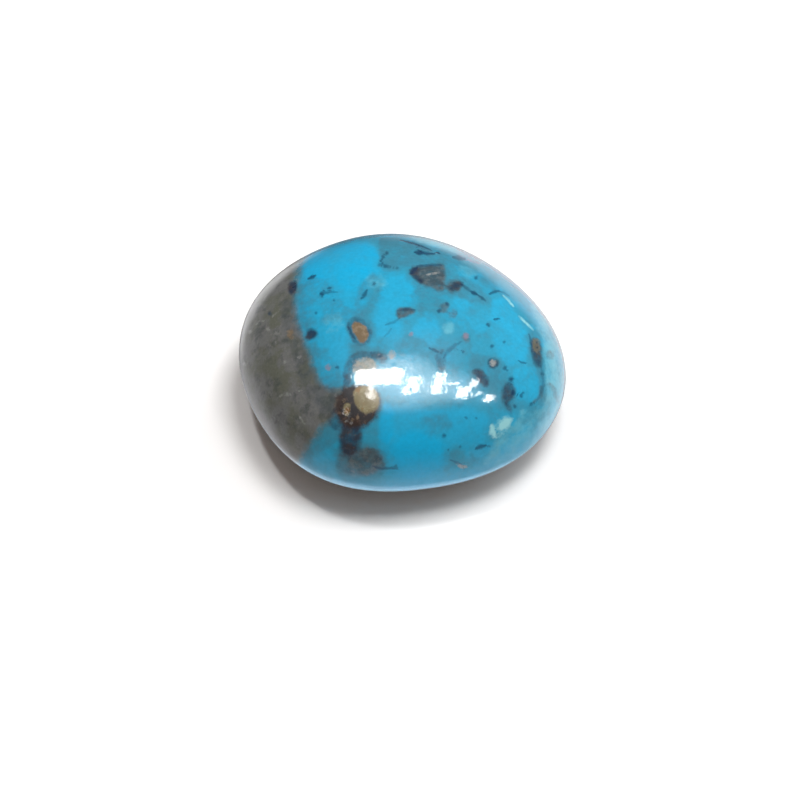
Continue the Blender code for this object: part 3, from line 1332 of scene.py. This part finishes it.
@dataclass
class Polish:
    """Geometry Nodes that refine the solid and give it the small unevenness of hand polishing."""

    level: int = 2
    wave_size: float = 3.2 * MM
    wave_depth: float = 0.030 * MM
    pit_spacing: float = 1.3 * MM
    pit_radius: float = 0.16 * MM
    pit_depth: float = 0.022 * MM
    base_clear: float = 0.7 * MM
    seed: int = 7
    clear_turn: Turn = Turn(0.15, 1.0)
    wave_detail: float = 1.0
    most_pits: float = 4.0e5
    pit_sizes: tuple[float, float] = (0.35, 1.0)
    bowl_turn: Turn = Turn(1.0, 0.2)

    def values(self, finish: bpy.types.Material) -> dict[str, object]:
        """Value for each named input of the tree."""
        return {
            "Level": self.level, "Wave Size": self.wave_size, "Wave Depth": self.wave_depth,
            "Pit Spacing": self.pit_spacing, "Pit Radius": self.pit_radius,
            "Pit Depth": self.pit_depth, "Base Clear": self.base_clear, "Seed": self.seed,
            "Finish": finish,
        }

    def tree(self) -> bpy.types.NodeTree:
        """Build the tree.

        Returns:
            A geometry tree with its sizes as named inputs.
        """
        group = bpy.data.node_groups.new("polished_skin", "GeometryNodeTree")
        face = group.interface
        face.new_socket("Geometry", in_out="INPUT", socket_type="NodeSocketGeometry")
        face.new_socket("Level", in_out="INPUT", socket_type="NodeSocketInt")
        for name in ("Wave Size", "Wave Depth", "Pit Spacing", "Pit Radius", "Pit Depth", "Base Clear"):
            face.new_socket(name, in_out="INPUT", socket_type="NodeSocketFloat")
        face.new_socket("Seed", in_out="INPUT", socket_type="NodeSocketInt")
        face.new_socket("Finish", in_out="INPUT", socket_type="NodeSocketMaterial")
        face.new_socket("Geometry", in_out="OUTPUT", socket_type="NodeSocketGeometry")

        tree = Tree(group)
        given = tree.node("NodeGroupInput").outputs
        fine = tree.node("GeometryNodeSubdivisionSurface", {
            "Mesh": given["Geometry"], "Level": given["Level"]}).outputs[0]
        place = tree.node("GeometryNodeInputPosition").outputs[0]
        height = tree.node("ShaderNodeSeparateXYZ", {0: place}).outputs["Z"]
        clear = tree.part(tree.sum("DIVIDE", height, given["Base Clear"]), self.clear_turn)

        in_waves = tree.vector("SCALE", place, tree.sum("DIVIDE", 1.0, given["Wave Size"]))
        wave = tree.noise(in_waves, Cloud(1.0, self.wave_detail))
        waved = self.sunk(tree, fine, tree.product(tree.product(wave, given["Wave Depth"]), clear))

        points = tree.node("GeometryNodeDistributePointsOnFaces", {
            "Mesh": waved, "Distance Min": given["Pit Spacing"], "Density Max": self.most_pits,
            "Seed": given["Seed"]}, distribute_method="POISSON").outputs["Points"]
        nearest = tree.node("GeometryNodeSampleNearest", {"Geometry": points}).outputs["Index"]
        lowest, highest = self.pit_sizes
        share = tree.node("FunctionNodeRandomValue", {
            2: lowest, 3: highest, "Seed": given["Seed"]}, data_type="FLOAT").outputs[1]
        middle, size = (
            tree.node("GeometryNodeSampleIndex", {
                "Geometry": points, "Value": value, "Index": nearest}, data_type=kind).outputs[0]
            for value, kind in ((place, "FLOAT_VECTOR"), (share, "FLOAT"))
        )
        gap = tree.vector("DISTANCE", place, middle)
        bowl = tree.part(
            tree.sum("DIVIDE", gap, tree.product(given["Pit Radius"], size)), self.bowl_turn)
        pitted = self.sunk(tree, waved, tree.product(tree.product(bowl, given["Pit Depth"]), clear))

        smooth = tree.node("GeometryNodeSetShadeSmooth", {"Geometry": pitted}).outputs[0]
        real = tree.node("GeometryNodeRealizeInstances", {"Geometry": smooth}).outputs[0]
        dressed = tree.node("GeometryNodeSetMaterial", {"Geometry": real, "Material": given["Finish"]})
        tree.node("NodeGroupOutput", {"Geometry": dressed.outputs[0]})
        return group

    def sunk(self, tree: Tree, shape: Socket, depth: Socket) -> Socket:
        """Sink a surface along its normals.

        Args:
            tree: The geometry tree.
            shape: Socket of the geometry.
            depth: Socket of how deep, in metres.

        Returns:
            Socket of the sunk geometry.
        """
        normal = tree.node("GeometryNodeInputNormal").outputs[0]
        down = tree.vector("SCALE", normal, tree.product(depth, -1.0))
        return tree.node("GeometryNodeSetPosition", {"Geometry": shape, "Offset": down}).outputs[0]

    def run(self, source: bpy.types.Object, finish: bpy.types.Material, name: str) -> bpy.types.Object:
        """Run the tree on an object and keep the result as a plain mesh.

        Args:
            source: The object to refine. It is removed.
            finish: The stone's material.
            name: Name of the new object.

        Returns:
            The new object.
        """
        group = self.tree()
        modifier = source.modifiers.new("polish", "NODES")
        modifier.node_group = group
        values = self.values(finish)
        for item in group.interface.items_tree:
            if item.item_type == "SOCKET" and item.in_out == "INPUT" and item.name in values:
                modifier[item.identifier] = values[item.name]
        graph = bpy.context.evaluated_depsgraph_get()
        mesh = bpy.data.meshes.new_from_object(source.evaluated_get(graph), depsgraph=graph)
        mesh.name = name
        result = bpy.data.objects.new(name, mesh)
        bpy.context.scene.collection.objects.link(result)
        bpy.data.objects.remove(source, do_unlink=True)
        return result


@dataclass
class Laid:
    """What has been laid on the skin's points yet.

    Args:
        depths: Depth in each tone.
        ink_far: Distance to the nearest ink line, in half widths of it.
        ink_way: The way from it.
        ink_part: How strong that line is.
    """

    depths: dict[Tone, np.ndarray]
    ink_far: np.ndarray
    ink_way: np.ndarray
    ink_part: np.ndarray


@dataclass
class Nugget:
    """The stone: its fine skin, its markings and its map.

    Args:
        polish: What refines the solid.
        finish: What the stone is made of.
        hidden: The sides that the photo doesn't show.
        merge_gap: Corners nearer than this are joined, in metres.
        clear: Depth that is well clear of a soft edge, in parts of its width.
        least_reach: How far round a marking the skin is always looked at, in millimetres.
        photo_reach: How far the photo's side reaches past its edge, in parts of a right angle.
        reach_waves: How many waves round the stone that reach has, where they start and how high they are.
        hand_over: How fast the photo's side gives way to the hidden ones.
        hidden_back: How far their markings step back on the photo's side, in millimetres.
        hidden_lean: Where a hidden side's markings begin to fade, as the cosine of the angle.
        ink_far: Distance of a point without ink from it, in half widths of a line.
        ink_dip: How much of that distance is left out, so that a line stays whole.
        ink_fade: How fast ink fades past a side's edge, in half widths of a line for a millimetre.
        vein_end: Width of a vein at its ends, in parts of the width at its middle.
        middle_height: Height of the widest line, in metres.
        body_island: Middle and radius of the body's island on the map.
        base_island: Middle and radius of the base's island on the map.
        base_height: Faces of the flat base are lower than this, in metres.
        base_down: They also face down more than this.
    """

    polish: Polish = field(default_factory=Polish)
    finish: StoneFinish = field(default_factory=StoneFinish)
    hidden: tuple[Aspect, ...] = HIDDEN
    merge_gap: float = 0.001 * MM
    clear: float = 3.0
    least_reach: float = 1.0
    photo_reach: float = 0.30
    reach_waves: tuple[tuple[float, float, float], ...] = (
        (3.0, 0.4, 0.09), (7.0, 1.9, 0.08), (13.0, 0.0, 0.05))
    hand_over: float = 1.8
    hidden_back: float = 5.0
    hidden_lean: float = 0.55
    ink_far: float = 40.0
    ink_dip: float = 1.2
    ink_fade: float = 10.0
    vein_end: float = 0.45
    middle_height: float = 3.15 * MM
    body_island: tuple[float, float] = (0.462, 0.452)
    base_island: tuple[float, float] = (0.878, 0.112)
    base_height: float = 0.03 * MM
    base_down: float = 0.995

    def build(self) -> bpy.types.Object:
        """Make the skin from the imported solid.

        Returns:
            The skin, dressed and riding on its body.
        """
        skin = self.polish.run(self.merged_copy(), self.finish.material(), SKIN)
        self.lay_marks(skin.data)
        self.lay_map(skin.data)
        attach(skin, BODY)
        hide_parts(NODE)
        return skin

    def merged_copy(self) -> bpy.types.Object:
        """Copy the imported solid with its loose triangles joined.

        Returns:
            The copy.
        """
        shape = bmesh.new()
        shape.from_mesh(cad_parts[NODE].data)
        bmesh.ops.remove_doubles(shape, verts=shape.verts[:], dist=self.merge_gap)
        mesh = bpy.data.meshes.new("refined")
        shape.to_mesh(mesh)
        shape.free()
        for name in ("custom_normal", "sharp_face", "sharp_edge"):
            if name in mesh.attributes:
                mesh.attributes.remove(mesh.attributes[name])
        copy = bpy.data.objects.new("refined", mesh)
        bpy.context.scene.collection.objects.link(copy)
        return copy

    def lay_marks(self, mesh: bpy.types.Mesh) -> None:
        """Keep on each point how deep in each tone it lies, in parts of the marking's soft width.

        Args:
            mesh: The skin's mesh.
        """
        count = len(mesh.vertices)
        points, normals = np.zeros(count * 3), np.zeros(count * 3)
        mesh.vertices.foreach_get("co", points)
        mesh.vertices.foreach_get("normal", normals)
        points, normals = points.reshape(-1, 3), normals.reshape(-1, 3)
        laid = Laid(
            {tone: np.full(count, -self.clear) for tone in EDGES}, np.full(count, self.ink_far),
            np.full((count, 3), self.ink_far), np.zeros(count))
        shown = np.clip((normals @ FRONT.towards() + self.reach_round(points)) * self.hand_over, 0.0, 1.0)
        for aspect in (FRONT, *self.hidden):
            places = aspect.flatten(points)
            facing = normals @ aspect.towards()
            past = np.clip(-facing, 0.0, 1.0) * aspect.wrap
            if aspect is not FRONT:
                fading = np.clip(self.hidden_lean - facing, 0.0, 1.0) * aspect.wrap
                past = past + fading + shown * self.hidden_back
            for mark in aspect.marks:
                self.lay_mark(mark, aspect, places, past, laid)
        for tone, depth in laid.depths.items():
            self.keep(mesh, tone.value, "FLOAT", depth)
        self.keep(mesh, Tone.INK.value, "FLOAT", laid.ink_far - self.ink_dip)
        self.keep(mesh, INK_WAY, "FLOAT_VECTOR", laid.ink_way)
        self.keep(mesh, INK_PART, "FLOAT", laid.ink_part)
        self.keep(mesh, UNDER, "FLOAT", -normals[:, 2])
        total = sum(len(aspect.marks) for aspect in (FRONT, *self.hidden))
        LOG.info("markings: %d on %d points", total, count)

    def reach_round(self, points: np.ndarray) -> np.ndarray:
        """Tell how far the photo's side reaches round the stone, unevenly with the bearing.

        Args:
            points: Points in metres, one a row.

        Returns:
            The reach of each, in parts of a right angle.
        """
        turn = np.arctan2(points[:, 1], points[:, 0])
        waves = (high * np.sin(count * turn + start) for count, start, high in self.reach_waves)
        return self.photo_reach + sum(waves)

    def lay_mark(
        self, mark: Mark, aspect: Aspect, places: np.ndarray, past: np.ndarray, laid: Laid,
    ) -> None:
        """Lay one marking on the points near it.

        Args:
            mark: The marking.
            aspect: The side it lies on.
            places: The skin's places on that side's plane.
            past: How far each one lies past the side's edge, in millimetres.
            laid: What has been laid yet, which is changed.
        """
        line = np.array(mark.outline if isinstance(mark, Patch) else
                        mark.path if isinstance(mark, Vein) else mark.spots, dtype=float)
        width = 0.0 if isinstance(mark, Patch) else mark.width
        reach = max(self.clear * mark.fade + width, self.least_reach) * aspect.pixels_per_mm
        near = np.all((places > line.min(axis=0) - reach) & (places < line.max(axis=0) + reach), axis=1)
        near = np.flatnonzero(near & (past < reach / aspect.pixels_per_mm))
        if not len(near):
            return
        if mark.tone is Tone.INK:
            self.lay_ink(mark, aspect, places[near], past[near], near, laid)
            return
        depth = (self.depth_in(mark, aspect, places[near]) - past[near]) / mark.fade
        depth = np.clip(depth, -self.clear, self.most(mark.strength))
        laid.depths[mark.tone][near] = np.maximum(laid.depths[mark.tone][near], depth)

    def most(self, strength: float) -> float:
        """Depth whose smooth step gives a strength, in parts of the soft width."""
        if strength >= 1.0:
            return self.clear
        return -math.sin(math.asin(1.0 - 2.0 * strength) / 3.0)

    def depth_in(self, mark: Mark, aspect: Aspect, places: np.ndarray) -> np.ndarray:
        """Tell how deep places lie inside a marking.

        Args:
            mark: The marking.
            aspect: The side it lies on.
            places: The places on that side's plane.

        Returns:
            Depth in millimetres, less than 0 outside.
        """
        if isinstance(mark, Patch):
            line = rounded(mark.outline, closed=True)
            way, _ = nearest_on_line(places, line, closed=True)
            gap = np.linalg.norm(way, axis=1) / aspect.pixels_per_mm
            return np.where(is_inside(places, line), gap, -gap)
        if isinstance(mark, Vein):
            way, along = nearest_on_line(places, rounded(mark.path, closed=False), closed=False)
            return self.half_width(mark, along) - np.linalg.norm(way, axis=1) / aspect.pixels_per_mm
        gaps = [np.linalg.norm(places - spot, axis=1) for spot in mark.spots]
        return mark.width / 2 - np.minimum.reduce(gaps) / aspect.pixels_per_mm

    def half_width(self, vein: Vein, along: np.ndarray) -> np.ndarray:
        """Half of a vein's width, which tapers towards both ends, in millimetres."""
        return vein.width / 2 * (self.vein_end + (1 - self.vein_end) * np.sin(np.pi * along))

    def lay_ink(
        self, mark: Mark, aspect: Aspect, places: np.ndarray, past: np.ndarray, near: np.ndarray,
        laid: Laid,
    ) -> None:
        """Keep the way to the nearest ink line, in half widths of that line.

        A way turns smoothly across a line, so the line stays whole between the skin's points.

        Args:
            mark: The ink marking.
            aspect: The side it lies on.
            places: The places near it on that side's plane.
            past: How far each one lies past the side's edge, in millimetres.
            near: Numbers of these points on the skin.
            laid: What has been laid yet, which is changed.
        """
        if isinstance(mark, Vein):
            way, along = nearest_on_line(places, rounded(mark.path, closed=False), closed=False)
            ways = [(way, self.half_width(mark, along))]
        else:
            ways = [(places - spot, mark.width / 2) for spot in mark.spots]
        for way, half in ways:
            scaled = way / aspect.pixels_per_mm / np.asarray(half).reshape(-1, 1)
            gap = np.linalg.norm(scaled, axis=1) + past * self.ink_fade
            closer = gap < laid.ink_far[near]
            laid.ink_far[near[closer]] = gap[closer]
            laid.ink_way[near[closer], :2] = scaled[closer]
            laid.ink_way[near[closer], 2] = past[closer] * self.ink_fade
            laid.ink_part[near[closer]] = mark.strength

    def keep(self, mesh: bpy.types.Mesh, name: str, kind: str, values: np.ndarray) -> None:
        """Store one value or vector for each point.

        Args:
            mesh: The skin's mesh.
            name: Name of the attribute.
            kind: FLOAT or FLOAT_VECTOR.
            values: The values, one a row.
        """
        layer = mesh.attributes.new(name, kind, "POINT")
        layer.data.foreach_set("value" if kind == "FLOAT" else "vector", values.ravel())

    def lay_map(self, mesh: bpy.types.Mesh) -> None:
        """Lay the skin out flat: the dome and keel as one round island, and the base as another.

        Args:
            mesh: The skin's mesh.
        """
        count = len(mesh.vertices)
        points = np.zeros(count * 3)
        mesh.vertices.foreach_get("co", points)
        points = points.reshape(-1, 3)
        ray = points - (0.0, 0.0, self.middle_height)
        turn = np.arctan2(ray[:, 1], ray[:, 0])
        lean = np.arccos(ray[:, 2] / np.linalg.norm(ray, axis=1))
        body_radius = np.sin(lean / 2)
        base_radius = np.hypot(ray[:, 0], ray[:, 1])

        corners = np.zeros(len(mesh.loops), dtype=np.int32)
        mesh.loops.foreach_get("vertex_index", corners)
        on_base = np.zeros(len(mesh.loops), dtype=bool)
        flat = self.base_faces(mesh)
        for polygon in mesh.polygons:
            if flat[polygon.index]:
                on_base[polygon.loop_start:polygon.loop_start + polygon.loop_total] = True
        body_reach = body_radius[corners[~on_base]].max()
        base_reach = base_radius[corners[on_base]].max() if on_base.any() else 1.0

        radius = np.where(on_base, base_radius[corners] / base_reach * self.base_island[1],
                          body_radius[corners] / body_reach * self.body_island[1])
        centre = np.where(on_base, self.base_island[0], self.body_island[0])
        angle = turn[corners]
        uv = np.stack((centre + radius * np.cos(angle), centre + radius * np.sin(angle)), axis=1)
        layer = mesh.uv_layers.new(name=MAP)
        layer.data.foreach_set("uv", uv.ravel())
        for other in [each for each in mesh.uv_layers if each.name != MAP]:
            mesh.uv_layers.remove(other)

    def base_faces(self, mesh: bpy.types.Mesh) -> np.ndarray:
        """Tell which faces are part of the flat base.

        Args:
            mesh: The skin's mesh.

        Returns:
            True for each such face.
        """
        count = len(mesh.polygons)
        middles, normals = np.zeros(count * 3), np.zeros(count * 3)
        mesh.polygons.foreach_get("center", middles)
        mesh.polygons.foreach_get("normal", normals)
        low = middles.reshape(-1, 3)[:, 2] < self.base_height
        return low & (normals.reshape(-1, 3)[:, 2] < -self.base_down)


class Duty(Enum):
    """What a lamp does: light the stone, or show in its polish."""

    LIGHT = "light"
    GLEAM = "gleam"


@dataclass(frozen=True)
class Lamp:
    """A soft lamp over the stone.

    Args:
        name: Which lamp it is.
        duty: What it does.
        lean_right: How far right of straight up it stands, in degrees.
        lean_back: How far behind straight up it stands, in degrees.
        width: Its size across, in metres.
        depth: Its size front to back, in metres.
        power: In watts.
        distance: From the stone, in metres.
        soft: Whether it fades out towards its edges.
        aim_height: Height of the point that it is aimed at, in metres.
        fade_turn: How a soft lamp fades out from its middle, in parts of its size.
    """

    name: str
    duty: Duty
    lean_right: float
    lean_back: float
    width: float
    depth: float
    power: float
    distance: float = 0.30
    soft: bool = False
    aim_height: float = 6.0 * MM
    fade_turn: Turn = Turn(0.50, 0.05)

    def build(self) -> bpy.types.Object:
        """Make the lamp and aim it at the stone.

        Returns:
            The lamp's object.
        """
        lamp = bpy.data.lights.new(self.name, "AREA")
        lamp.shape = "RECTANGLE"
        lamp.size, lamp.size_y, lamp.energy = self.width, self.depth, self.power
        item = bpy.data.objects.new(self.name, lamp)
        right, back = (math.tan(math.radians(lean)) for lean in (self.lean_right, self.lean_back))
        way = Vector((right, back, 1.0))
        way.normalize()
        item.location = way * self.distance + Vector((0.0, 0.0, self.aim_height))
        across = Vector((1.0, 0.0, 0.0)) - way * way.x
        across.normalize()
        item.rotation_euler = Matrix((across, way.cross(across), way)).transposed().to_euler()
        item.visible_diffuse = self.duty is Duty.LIGHT
        item.visible_glossy = self.duty is Duty.GLEAM
        bpy.context.scene.collection.objects.link(item)
        if self.soft:
            self.fade(lamp)
        return item

    def fade(self, lamp: bpy.types.AreaLight) -> None:
        """Make the lamp bright in its middle and dark at its edges.

        Args:
            lamp: The lamp's data.
        """
        lamp.use_nodes = True
        tree = Tree(lamp.node_tree)
        place = tree.node("ShaderNodeNewGeometry").outputs["Parametric"]
        parts = tree.node("ShaderNodeSeparateXYZ", {0: place}).outputs
        across, up = (tree.sum("SUBTRACT", parts[axis], 0.5) for axis in ("X", "Y"))
        square = tree.sum("ADD", tree.product(across, across), tree.product(up, up))
        part = tree.part(tree.sum("SQRT", square), self.fade_turn)
        tree.feed(lamp.node_tree.nodes["Emission"].inputs["Strength"], part)


@dataclass(frozen=True)
class Glow:
    """A bright part of the room that shows in the stone's polish.

    Args:
        name: Which part it is.
        towards: Unit vector from the stone to its middle.
        inner: Half angle that is fully bright, in degrees.
        outer: Half angle where it ends, in degrees.
        colour: Its colour.
    """

    name: str
    towards: tuple[float, float, float]
    inner: float
    outer: float
    colour: Colour


@dataclass
class Studio:
    """White ground, soft lamps and the camera."""

    place: CameraPlace = PHOTO
    ground_size: float = 0.60
    ground_drop: float = 0.005 * MM
    ground_colour: Colour = (0.93, 0.93, 0.93)
    ground_rough: float = 0.8
    ground_gloss: float = 0.2
    room: Colour = (0.08, 0.08, 0.08)
    ambient: Colour = (0.222, 0.190, 0.172)
    backdrop: Colour = (0.96, 0.96, 0.96)
    sight: tuple[float, float] = (0.01, 10.0)
    glows: tuple[Glow, ...] = (
        Glow("ceiling", (0.0, 0.0, 1.0), 15.0, 42.0, (0.35, 0.36, 0.38)),
        Glow("ground under the rim", (0.10, 0.46, -0.88), 14.0, 32.0, (0.34, 0.34, 0.34)),
        Glow("near ground", (-0.10, -0.03, -0.99), 16.0, 38.0, (0.86, 1.00, 1.14)),
        Glow("ground on the left", (-0.74, 0.42, -0.53), 14.0, 36.0, (0.62, 0.62, 0.64)),
        Glow("ground on the right", (0.76, 0.38, -0.53), 14.0, 36.0, (1.00, 1.04, 1.02)),
        Glow("ground behind on the left", (-0.45, 0.73, -0.51), 8.0, 20.0, (1.15, 1.15, 1.17)),
        Glow("ground behind", (0.25, 0.88, -0.40), 5.0, 22.0, (0.45, 0.46, 0.48)),
        Glow("ground behind on the right", (0.46, 0.76, -0.46), 10.0, 30.0, (1.00, 0.86, 0.84)),
    )
    lamps: tuple[Lamp, ...] = (
        Lamp("left_lamp", Duty.LIGHT, -13.0, 13.0, 0.026, 0.026, 0.25),
        Lamp("right_lamp", Duty.LIGHT, 13.0, 8.5, 0.120, 0.120, 0.62),
        Lamp("far_lamp", Duty.LIGHT, 52.0, 42.0, 0.260, 0.260, 0.46),
        Lamp("front_lamp", Duty.LIGHT, 62.0, -40.0, 0.200, 0.200, 0.080),
        Lamp("left_gleam", Duty.GLEAM, -6.0, -8.2, 0.130, 0.060, 0.58),
        Lamp("left_gleam_end", Duty.GLEAM, 10.5, -15.5, 0.022, 0.062, 0.095),
        Lamp("left_gleam_foot", Duty.GLEAM, -8.5, -19.0, 0.022, 0.052, 0.062),
        Lamp("right_gleam", Duty.GLEAM, 19.0, -14.5, 0.022, 0.084, 0.135),
        Lamp("right_gleam_bridge", Duty.GLEAM, 25.0, -15.0, 0.030, 0.012, 0.024),
        Lamp("right_gleam_foot", Duty.GLEAM, 32.5, -24.0, 0.036, 0.048, 0.125),
        Lamp("right_gleam_end", Duty.GLEAM, 35.0, -14.5, 0.018, 0.036, 0.045),
        Lamp("star_gleam", Duty.GLEAM, 49.0, -32.5, 0.024, 0.024, 0.060),
        Lamp("small_gleam", Duty.GLEAM, 41.0, -26.0, 0.014, 0.014, 0.02),
        Lamp("wide_gleam", Duty.GLEAM, 11.0, -19.0, 0.360, 0.240, 1.35, soft=True),
        Lamp("high_gleam", Duty.GLEAM, 4.0, -2.0, 0.150, 0.120, 0.30, soft=True),
    )

    def build(self) -> None:
        """Make the whole studio."""
        self.build_ground()
        for lamp in self.lamps:
            lamp.build()
        self.build_sky()
        self.build_camera()
        bpy.context.scene.view_settings.view_transform = "Standard"

    def build_ground(self) -> None:
        """Make the white ground."""
        shape = bmesh.new()
        bmesh.ops.create_grid(shape, x_segments=1, y_segments=1, size=self.ground_size / 2)
        bmesh.ops.translate(shape, verts=shape.verts[:], vec=(0.0, 0.0, -self.ground_drop))
        mesh = bpy.data.meshes.new("white_ground")
        shape.to_mesh(mesh)
        shape.free()
        material = bpy.data.materials.new("white_paper")
        material.use_nodes = True
        shader = material.node_tree.nodes["Principled BSDF"]
        shader.inputs["Base Color"].default_value = (*self.ground_colour, 1.0)
        shader.inputs["Roughness"].default_value = self.ground_rough
        shader.inputs["Specular IOR Level"].default_value = self.ground_gloss
        mesh.materials.append(material)
        ground = bpy.data.objects.new("white_ground", mesh)
        ground.visible_glossy = False
        bpy.context.scene.collection.objects.link(ground)

    def build_sky(self) -> None:
        """Light everything softly from above, and a little from all round."""
        world = bpy.data.worlds.new("soft_room")
        world.use_nodes = True
        tree = Tree(world.node_tree)
        way = tree.node("ShaderNodeTexCoord").outputs["Generated"]
        seen = tree.node("ShaderNodeLightPath").outputs
        polish = tree.mix(0.0, self.room, self.room)
        for glow in self.glows:
            facing = tree.vector("DOT_PRODUCT", way, glow.towards)
            outer, inner = (math.cos(math.radians(angle)) for angle in (glow.outer, glow.inner))
            polish = tree.mix(tree.part(facing, Turn(outer, inner)), polish, glow.colour)
        light = tree.mix(seen["Is Glossy Ray"], self.ambient, polish)
        light = tree.mix(seen["Is Camera Ray"], light, self.backdrop)
        tree.feed(world.node_tree.nodes["Background"].inputs["Color"], light)
        bpy.context.scene.world = world

    def build_camera(self) -> None:
        """Put the camera where the photo was taken from."""
        lens = bpy.data.cameras.new("camera")
        lens.lens, lens.sensor_width = self.place.lens(), self.place.sensor
        lens.clip_start, lens.clip_end = self.sight
        camera = bpy.data.objects.new("camera", lens)
        right, up, away = (Vector(axis) for axis in self.place.axes())
        turn = Matrix((right, up, -away)).transposed()
        camera.matrix_world = Matrix.Translation(Vector(self.place.eye())) @ turn.to_4x4()
        bpy.context.scene.collection.objects.link(camera)
        bpy.context.scene.camera = camera


def write_sizes() -> None:
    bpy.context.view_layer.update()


def main() -> None:
    """Build the stone, then the studio round it."""
    skin = Nugget().build()
    LOG.info("%s: %d faces", skin.name, len(skin.data.polygons))
    Studio().build()
    LOG.info("studio: ground, lamps and camera")
    write_sizes()


if __name__ == "__main__":
    main()
